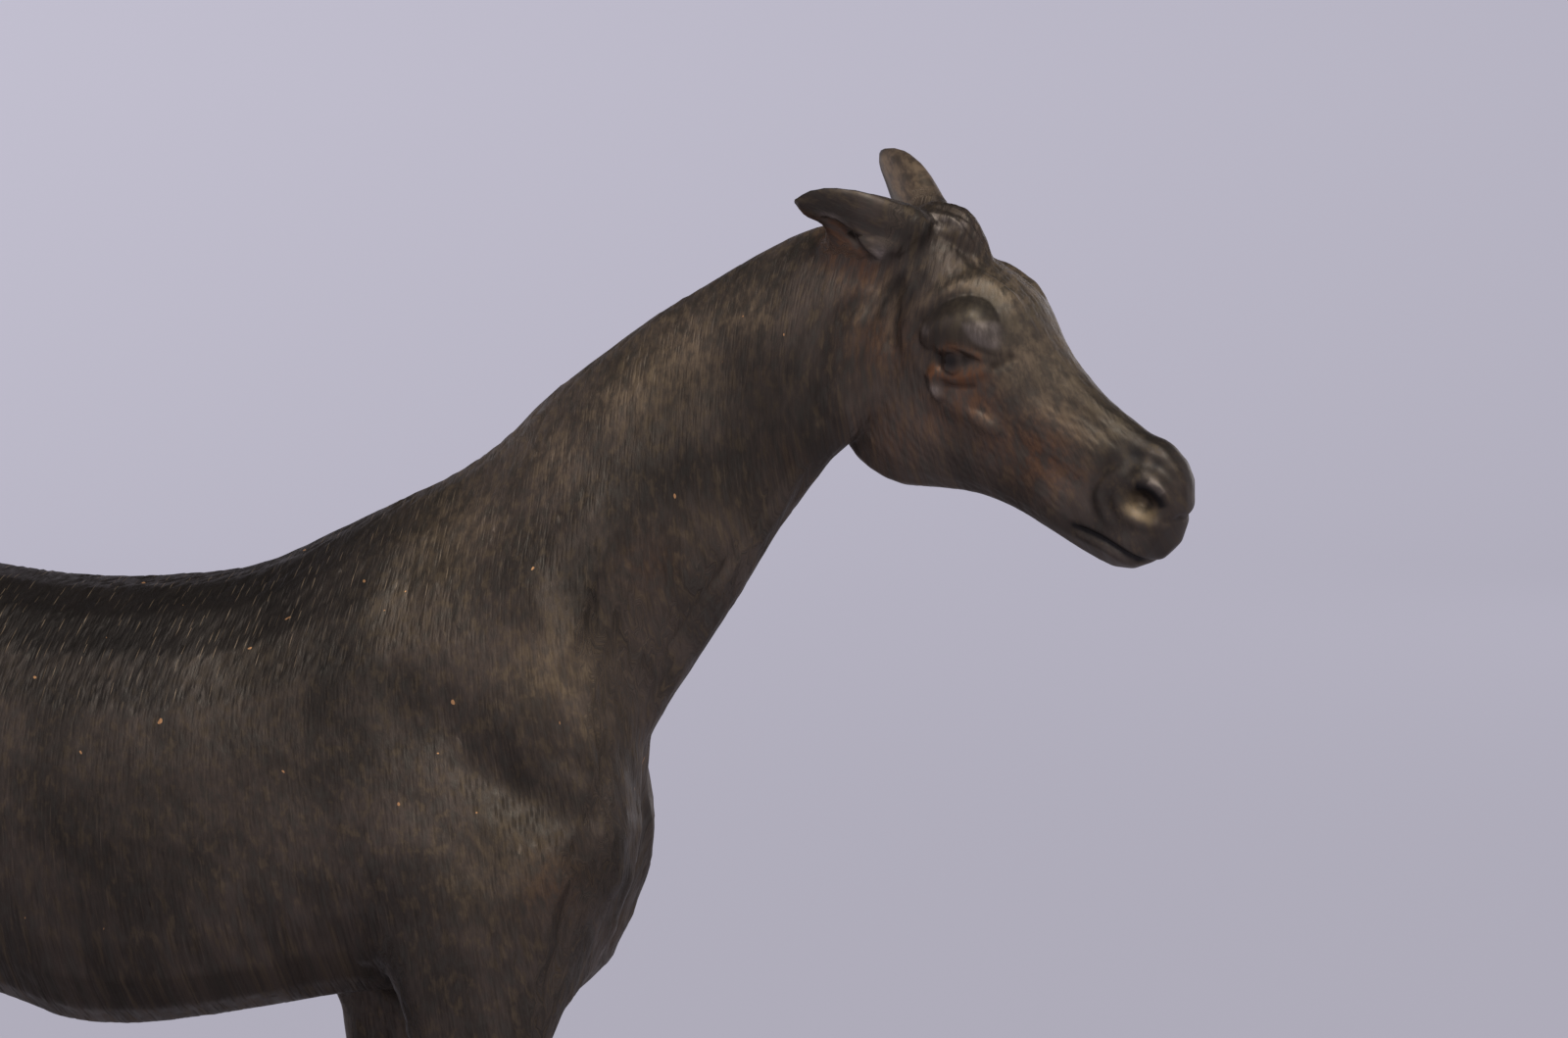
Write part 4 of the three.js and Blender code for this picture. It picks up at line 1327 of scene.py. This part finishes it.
# Painted highlights and a painted reflection, from the lid's patch, the spots and the ring's highlight.
painted_highlight = mound(side_face, LID_REFLECTION, 1.4, 0.6, soft=True) + spots(side_face, HIGHLIGHT_SPOTS)
painted_highlight += lines(side_face, [(RING_GLINT, 0.7, 0.5)])
# Painted shade from the lines and spots; the muzzle, save inside its nostrils, is made darker as well, as the
# tone of its patina.
dark_and_painted_shade = np.maximum(lines(side_face, PAINTED_SHADE_LINES), spots(side_face, DARK_EYE_AND_SHADE_SPOTS))
rust *= outer * (1 - muzzle_share)
tan_and_painted_light *= face_share * (1 - muzzle_share)
painted_highlight *= outer
dark_and_painted_shade = dark_and_painted_shade * outer + 0.35 * muzzle_share * (1 - spots(side_face, NOSTRIL_GOLD))
wet_eye = spots(side_face, [(*EYEBALL["at"], 2.4, 0.9)]) * outer
wet = np.maximum(wet_eye, np.maximum(0.5 * painted_highlight, 0.15 * muzzle_share))
olive = ramp(final_head[:, 2], -10, 2) * face_share * (1 - muzzle_share) * ramp(final_head[:, 0], 12, 22)

# %% Paint the ears
# Painted highlights: along the near ear's rim, on its base, and in a row of spots on the tuft.
RIM_HIGHLIGHT = [(19, -0.3), (17, -0.1), (14.6, 0.2)]
EAR_RUST = [(149, 277, 4.5, 1), (153, 273, 4.5, 0.9), (146, 279, 3, 0.9)]
EAR_GLINT = (156.6, 276.6, 1.2, 0.9)
TUFT_GLINTS = [
    (167.4, 283.6, 0.8, 1), (169.4, 283.4, 0.7, 1), (171.2, 283, 0.8, 1), (173, 282.2, 0.8, 1),
    (168.2, 281.6, 0.7, 0.8),
]
near_leaf = NEAR_EAR.local(final)
far_leaf = FAR_EAR.local(final)
right_side = final[:, 1] < 0

under_rim = ramp(near_leaf[:, 2] - np.interp(near_leaf[:, 0], RIM_ALONG, RIM_ACROSS), -0.4, -1.6) * near_ear
below_ear = spots(side_view, EAR_RUST) * right_side * (1 - near_ear)
rim_glint = lines(near_leaf[:, [0, 2]], [(RIM_HIGHLIGHT, 0.8, 0.9)]) * near_ear * ramp(near_leaf[:, 1], 0, 1)
# Painted light and shade on the far ear: its face is painted tan as if lit, and its border painted darker
# where it turns from the light.
far_border = far_ear * np.maximum(ramp(far_leaf[:, 2], 0.5, 2.5), ramp(far_leaf[:, 0], 20, 23))
rust = np.maximum(rust, 0.75 * np.maximum(under_rim, below_ear))
tan_and_painted_light = np.maximum(tan_and_painted_light, far_ear - far_border)
painted_highlight = np.maximum(painted_highlight, rim_glint)
painted_highlight = np.maximum(painted_highlight, spots(side_view, [EAR_GLINT]) * (final[:, 1] < -9))
painted_highlight = np.maximum(painted_highlight, spots(side_view, TUFT_GLINTS) * right_side)
# The near ear's back is made a little darker, and the far ear's border gets its painted shade.
dark_and_painted_shade = np.maximum(dark_and_painted_shade, np.maximum(0.25 * near_ear * (1 - under_rim), 0.6 * far_border))

# %% [markdown]
# The body's places are in the side view, x forward and z up. A last mask paints light and shade
# into the colour: painted shade at some places, such as the fold behind the shoulder, and painted
# highlight at others, such as the sheen down the shoulder's front. It multiplies the colour.

# %% Paint the body
BODY_RUST = [(136, 249, 4, 0.7), (141, 239, 5, 0.5), (92, 152, 6, 0.4), (110, 214, 6, 0.25)]
BODY_GOLD = [
    (92, 194, 11, 0.8), (101, 182, 8, 0.5), (84, 158, 9, 0.6), (66, 216, 9, 0.6), (112, 250, 9, 0.8),
    (78, 150, 8, 0.5), (30, 198, 12, 0.5), (60, 205, 10, 0.4), (124, 222, 8, 0.3),
]
BODY_TAN = [(118, 256, 7, 0.7), (130, 263, 6, 0.6), (104, 246, 6, 0.6), (90, 234, 7, 0.5), (72, 224, 7, 0.4)]
# Painted shade and painted light, as (x, z, radius, how many times as light).
PAINTED_SHADING = [
    (8, 184, 9, 1.35), (6, 164, 19, 0.55), (-4, 144, 15, 0.72), (-9, 165, 8, 0.8), (-3, 194, 7, 0.82),
    (32, 171, 10, 0.82), (38, 182, 9, 0.86), (52, 184, 15, 0.5), (66, 199, 8, 0.8), (49, 206, 9, 1.2),
    (52, 217, 7, 1.25), (81, 184, 8, 0.8), (86, 167, 9, 0.62), (95, 169, 6, 0.78), (95, 158, 7, 0.8),
    (86, 150, 12, 0.78), (71, 163, 7, 1.2), (106, 150, 7, 0.7), (56, 148, 9, 0.85), (60, 126, 10, 0.5),
    (97, 204, 8, 0.75), (97, 215, 12, 0.55), (114, 236, 11, 0.55), (118, 252, 7, 0.85), (132, 251, 10, 0.45),
    (136, 237, 9, 0.5), (162, 240, 9, 1.3), (204, 217, 6, 2.2), (170, 279, 8, 0.55), (204, 244, 7, 0.6),
    (199, 250, 6, 0.75), (186, 248, 8, 1.35), (175, 250, 6, 1.25), (186, 238, 7, 1.2), (195, 228, 7, 1.5),
    (160, 276, 5, 1.5), (155, 284, 5, 1.2),
]
SHOULDER_SHEEN = [(88, 202), (91, 194), (95, 185), (99, 176)]
PAINTED_SHADING_LINES = [(BEHIND_SHOULDER, 7, 0.8), (SHOULDER_SHEEN, 6, 1.5)]
LEAST_DUST = 0.16

rust = np.maximum(rust, spots(side_view, BODY_RUST) * body_share)
tan_and_painted_light = np.maximum(tan_and_painted_light, spots(side_view, BODY_TAN) * body_share)
gold = np.maximum(spots(side_view, BODY_GOLD) * body_share, 2 * spots(side_face, NOSTRIL_GOLD) * outer)
# Painted shade: on the back, where the skin faces up, it is painted nearly black.
top = ramp(final_up[:, 2], 0.08, 0.66) * ramp(final_head[:, 0], -4, -14) * (1 - on_ears)
dark_and_painted_shade = np.maximum(dark_and_painted_shade, 0.9 * top * ramp(final[:, 0], 84, 36))
dusty = ramp(final_up[:, 2], 0.3, 0.6) * ramp(final[:, 2], 150, 190) * ramp(final[:, 0], 100, 60)
dusty = np.maximum(dusty, LEAST_DUST) * body_share
# Painted light and shade, multiplied into the colour through the depth mask.
lightness = np.zeros(len(final))
for *at, radius, times in PAINTED_SHADING:
    lightness += swell(side_view, at, (radius, radius), math.log(times))
for points, half_width, times in PAINTED_SHADING_LINES:
    lightness += roll(side_view, points, half_width, math.log(times)) * body_share

masks = {"rust": rust, "tan_and_painted_light": tan_and_painted_light, "painted_highlight": painted_highlight, "dark_and_painted_shade": dark_and_painted_shade, "wet": wet, "gold": gold, "olive": olive,
         "dusty": dusty, "depth": np.exp(lightness)}
for name, mask in masks.items():
    put(cast, name, "FLOAT", mask)
print("Painted masks:", ", ".join(masks))

# %% [markdown]
# The textures need to know where they are on the coat. Each point gets its place on the combed
# pattern. Where the skin turns away from the side view, its width is added, so that lines don't
# stretch there. The eyes, the muzzle and the hooves have no hair, and the face and the ears little.

# %% Places on the coat
EYE_SKIN = {"at": (24, -3), "radii": (11, 10)}

width = np.abs(final[:, 1])
facing = ramp(np.abs(final_up[:, 0]), 0.5, 0.9) * np.sign(final_up[:, 0]) * body_share
across = read_map(across_map, side_view) - facing * width
along = read_map(along_map, side_view) - width
coat = np.column_stack([across, along, final[:, 1]])
for ear in (NEAR_EAR, FAR_EAR):
    on = ear.mask(final) > 0.9
    coat[on] = ear.local(final)[on][:, [2, 0, 1]]
put(cast, "coat", "FLOAT_VECTOR", coat)

from_eye = ((side_face - EYE_SKIN["at"]) / EYE_SKIN["radii"]).T
bare = np.maximum(ramp(np.hypot(*from_eye), 1.15, 0.9), ramp(final_head[:, 0], 56, 64))
furred = 1 - face_share * bare
furred *= (1 - 0.5 * face_share) * (1 - 0.7 * on_ears) * ramp(final[:, 2], SOLE + 10, SOLE + 16)
put(cast, "furred", "FLOAT", furred)
pattern = [round(float(np.ptp(part))) for part in (across, along)]
print("The coat's pattern is", pattern[0], "mm across and", pattern[1], "mm along")

# %% [markdown]
# ## Patinated bronze
#
# Materials are graphs of nodes. A small helper adds a node and joins it in one call, and has a call
# of its own for each kind that the bronze needs.

# %% Wiring helper
class Wiring:
    """Adds nodes to a material and joins them, one call for each."""

    def __init__(self, material):
        self.tree = material.node_tree

    def node(self, kind, **values):
        made = self.tree.nodes.new(kind)
        for name, value in values.items():
            setattr(made, name, value)
        return made

    def join(self, source, target):
        self.tree.links.new(source, target)

    def feed(self, socket, value):
        """Gives a socket a value, or joins it to another node's output."""
        if isinstance(value, bpy.types.NodeSocket):
            self.join(value, socket)
        else:
            socket.default_value = value

    def attribute(self, name, output="Fac"):
        return self.node("ShaderNodeAttribute", attribute_name=name).outputs[output]

    def math(self, operation, a, b=0.0, clamp=False):
        made = self.node("ShaderNodeMath", operation=operation, use_clamp=clamp)
        self.feed(made.inputs[0], a)
        self.feed(made.inputs[1], b)
        return made.outputs[0]

    def times(self, product, *factors):
        """The product of several values."""
        for factor in factors:
            product = self.math("MULTIPLY", product, factor)
        return product

    def mix(self, share, a, b, blend="MIX"):
        made = self.node("ShaderNodeMix", data_type="RGBA", blend_type=blend)
        self.feed(made.inputs["Factor"], share)
        for name, value in (("A", a), ("B", b)):
            self.feed([i for i in made.inputs if i.name == name and i.type == "RGBA"][0], value)
        return [o for o in made.outputs if o.type == "RGBA"][0]

    def scaled(self, place, scale):
        made = self.node("ShaderNodeMapping")
        self.join(place, made.inputs["Vector"])
        made.inputs["Scale"].default_value = scale
        return made.outputs["Vector"]

    def noise(self, place, detail=3.0, roughness=0.6, dimensions="2D"):
        made = self.node("ShaderNodeTexNoise", noise_dimensions=dimensions)
        self.feed(made.inputs["Vector"], place)
        made.inputs["Scale"].default_value = 1
        made.inputs["Detail"].default_value = detail
        made.inputs["Roughness"].default_value = roughness
        return made.outputs["Fac"]

    def between(self, value, low, high, out_low=0.0, out_high=1.0):
        """A smooth step from one value to another."""
        made = self.node("ShaderNodeMapRange", interpolation_type="SMOOTHSTEP")
        self.feed(made.inputs["Value"], value)
        made.inputs["From Min"].default_value = low
        made.inputs["From Max"].default_value = high
        made.inputs["To Min"].default_value = out_low
        made.inputs["To Max"].default_value = out_high
        return made.outputs["Result"]

    def strokes(self, place, apart, length, thin, picked):
        """Lines along the coat, one in each cell of a stretched net, and only in a share of the cells."""
        net = self.scaled(place, (1 / apart, 1 / length, 0))
        cells = self.node("ShaderNodeTexVoronoi", voronoi_dimensions="2D", feature="F1")
        self.join(net, cells.inputs["Vector"])
        cells.inputs["Scale"].default_value = 1
        offset = self.node("ShaderNodeVectorMath", operation="SUBTRACT")
        self.join(net, offset.inputs[0])
        self.join(cells.outputs["Position"], offset.inputs[1])
        split = self.node("ShaderNodeSeparateXYZ")
        self.join(offset.outputs["Vector"], split.inputs["Vector"])
        line = self.between(self.math("ABSOLUTE", split.outputs["X"]), thin, 0.2 * thin)
        ends = self.between(self.math("ABSOLUTE", split.outputs["Y"]), 0.65, 0.1)
        tint = self.node("ShaderNodeSeparateColor")
        self.join(cells.outputs["Color"], tint.inputs["Color"])
        chosen = self.between(tint.outputs["Red"], 1 - picked, 1.15 - picked)
        return self.times(line, ends, chosen), tint.outputs["Green"]

    def bump(self, shader, height, strength, distance):
        """Relief that is finer than the mesh's net."""
        made = self.node("ShaderNodeBump")
        made.inputs["Strength"].default_value = strength
        made.inputs["Distance"].default_value = distance
        self.join(height, made.inputs["Height"])
        self.join(made.outputs["Normal"], shader.inputs["Normal"])


# %% [markdown]
# Under wax, old bronze is dark, but it still shines like metal where light meets it. The shader is
# metallic with a dark warm colour, and a roughness that wavers. Colour is laid in the order in which
# it came: brown patina, regional tints broken up by mottling, among them painted highlights and
# painted shade, fine hair lines along the combed coat, shaded by a mask of painted light and shade,
# dust in the wider ones, and bare copper at a few tiny nicks. The same hair lines feed a bump,
# because they are finer than the mesh's net.

# %% Colour of the patina
BROWN = (0.074, 0.055, 0.043, 1)
DEEP_BROWN = (0.043, 0.033, 0.026, 1)
# Colour of painted shade, and of the darkest patina.
BLACK = (0.011, 0.0095, 0.0095, 1)
RUST = (0.125, 0.055, 0.026, 1)
# Colour of tan patina, and of the painted light on the far ear.
TAN = (0.19, 0.135, 0.088, 1)
OLIVE = (0.095, 0.076, 0.050, 1)
GOLD_BROWN = (0.12, 0.086, 0.050, 1)
GREY_GREEN = (0.052, 0.047, 0.037, 1)
# Colour of the painted highlights and reflection.
HIGHLIGHT_TINT = (0.26, 0.215, 0.185, 1)
COPPER = (0.42, 0.22, 0.10, 1)
DUST = (0.24, 0.175, 0.115, 1)
# Each tint laid over the brown: its mask, its colour, and its strength between the mottles and on them.
# The pale tint is painted highlight and reflection, the black one mostly painted shade, and the tan one
# partly painted light.
TINTS = [
    ("olive", OLIVE, 0.3, 0.8),
    ("rust", RUST, 0.15, 0.9),
    ("gold", GOLD_BROWN, 0.3, 0.8),
    ("tan_and_painted_light", TAN, 0.2, 0.8),
    ("dark_and_painted_shade", BLACK, 0.9, 1),
    ("painted_highlight", HIGHLIGHT_TINT, 0.4, 0.9),
]
# How often a texture repeats in a millimetre, across the coat and along it.
BLOTCH = (0.075, 0.05, 0)
MOTTLE = (0.5, 0.26, 0)
FIBRE = (2.2, 0.42, 0)
NICKS = (0.34, 0.24, 0)
FURROWS = {"apart": 1.05, "length": 4.6, "thin": 0.3, "picked": 0.75}
DUST_LINES = {"apart": 2.2, "length": 4.8, "thin": 0.055, "picked": 0.7}


def mottled_brown(wires, coat, mottle):
    """Brown patina in two depths, with golden and grey-green mottles."""
    blotch = wires.noise(wires.scaled(coat, BLOTCH), 3)
    colour = wires.mix(wires.between(blotch, 0.35, 0.65), DEEP_BROWN, BROWN)
    colour = wires.mix(wires.between(mottle, 0.5, 0.72, 0, 0.45), colour, GOLD_BROWN)
    return wires.mix(wires.between(mottle, 0.5, 0.3, 0, 0.5), colour, GREY_GREEN)


def tinted(wires, colour, mottle):
    """The colour with the painted tints laid over it one after another."""
    for mask, tint, low, high in TINTS:
        patchy = wires.between(mottle, 0.35, 0.65, low, high)
        colour = wires.mix(wires.math("MULTIPLY", wires.attribute(mask), patchy, True), colour, tint)
    return colour


def hair_shade(wires, fibre, furrow, tone, furred):
    """How light the coat is at each hair: darker in furrows and in hollows, and with the painted light and
    shade of the depth mask.
    """
    grain = wires.times(wires.between(fibre, 0.3, 0.7, -0.11, 0.11), wires.between(furred, 0, 1, 0.3, 1))
    of_stroke = wires.between(tone, 0, 1, 0.94, 1.06)
    of_hollow = wires.between(wires.attribute("hollow"), 0.05, 0.5, 1, 0.6)
    of_furrow = wires.between(furrow, 0, 1, 1, 0.88)
    return wires.times(of_stroke, wires.math("ADD", grain, 1), of_hollow, of_furrow, wires.attribute("depth"))


def dusted(wires, colour, coat):
    """Pale dust that has stayed in the wider furrows."""
    dust_line, dust_tone = wires.strokes(coat, **DUST_LINES)
    share = wires.times(wires.attribute("dusty"), dust_line, wires.between(dust_tone, 0, 1, 0.2, 0.8))
    return wires.mix(share, colour, DUST)


def nicked(wires, colour, coat, furred):
    """Bare copper at a few tiny nicks."""
    nick = wires.between(wires.noise(wires.scaled(coat, NICKS), 1), 0.84, 0.85)
    return wires.mix(wires.times(nick, wires.between(furred, 0.6, 0.9)), colour, COPPER)


# %% Bronze
BRONZE_METALLIC = 0.6
EDGE_TINT = (0.7, 0.66, 0.62, 1)
HAIR_RELIEF = {"strength": 0.6, "distance": 0.00014}


def waxed_gloss(wires, mottle, furrow):
    """Roughness: wavering under the wax, duller in furrows, low where the bronze looks wet."""
    gloss = wires.math("ADD", wires.between(mottle, 0.25, 0.75, 0.44, 0.58), wires.times(furrow, 0.12))
    return wires.times(gloss, wires.between(wires.attribute("wet"), 0, 1, 1, 0.4))


def hair_height(wires, fibre, furrow, furred):
    """The height of the finest hair, with the furrows sunk into it."""
    hairs = wires.times(fibre, 0.6, wires.between(furred, 0, 1, 0.2, 1))
    return wires.math("SUBTRACT", hairs, wires.times(furrow, 0.5))


def bronze(name):
    """Patinated bronze with hair lines, painted by the masks on the mesh."""
    material, shader = new_material(name)
    wires = Wiring(material)
    coat = wires.attribute("coat", "Vector")
    furred = wires.attribute("furred")
    mottle = wires.noise(wires.scaled(coat, MOTTLE), 3)
    fibre = wires.noise(wires.scaled(coat, FIBRE), 2, 0.65)
    furrow, tone = wires.strokes(coat, **FURROWS)
    furrow = wires.times(furrow, furred)

    colour = tinted(wires, mottled_brown(wires, coat, mottle), mottle)
    colour = wires.mix(1.0, colour, hair_shade(wires, fibre, furrow, tone, furred), "MULTIPLY")
    colour = nicked(wires, dusted(wires, colour, coat), coat, furred)
    wires.join(colour, shader.inputs["Base Color"])
    wires.join(waxed_gloss(wires, mottle, furrow), shader.inputs["Roughness"])
    shader.inputs["Metallic"].default_value = BRONZE_METALLIC
    shader.inputs["Specular Tint"].default_value = EDGE_TINT
    wires.bump(shader, hair_height(wires, fibre, furrow, furred), **HAIR_RELIEF)
    return material


cast.materials.clear()
cast.materials.append(bronze("patinated_bronze"))
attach(clay, "root")
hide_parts("horse")
print("The casting's bronze has", len(cast.materials[0].node_tree.nodes), "nodes")

# %% [markdown]
# ## The plinth
#
# The photograph doesn't show it. A low bronze slab with a soft edge suits such a horse. Its solid's
# shape is right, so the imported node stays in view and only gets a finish: the same bronze without
# hair, cast and filed flat.

# %% Plinth
# How often a texture repeats in a metre.
PLINTH_BLOTCH = (45, 45, 45)
PLINTH_GRAIN = (900, 900, 900)
PLINTH_METALLIC = 0.65
PLINTH_RELIEF = {"strength": 0.4, "distance": 0.0002}


def plain_bronze(name):
    """Smooth cast bronze, mottled and a little worn."""
    material, shader = new_material(name)
    wires = Wiring(material)
    place = wires.node("ShaderNodeTexCoord").outputs["Object"]
    blotch = wires.noise(wires.scaled(place, PLINTH_BLOTCH), 5, dimensions="3D")
    grain = wires.noise(wires.scaled(place, PLINTH_GRAIN), 3, dimensions="3D")
    colour = wires.mix(wires.between(blotch, 0.35, 0.65), DEEP_BROWN, BROWN)
    colour = wires.mix(wires.between(grain, 0.55, 0.75, 0, 0.4), colour, GOLD_BROWN)
    wires.join(colour, shader.inputs["Base Color"])
    wires.join(wires.between(blotch, 0.3, 0.7, 0.38, 0.55), shader.inputs["Roughness"])
    shader.inputs["Metallic"].default_value = PLINTH_METALLIC
    wires.bump(shader, wires.math("ADD", grain, blotch), **PLINTH_RELIEF)
    return material


plinth_node.data.materials.clear()
plinth_node.data.materials.append(plain_bronze("plinth_bronze"))
print("The plinth's finish is", plinth_node.data.materials[0].name)
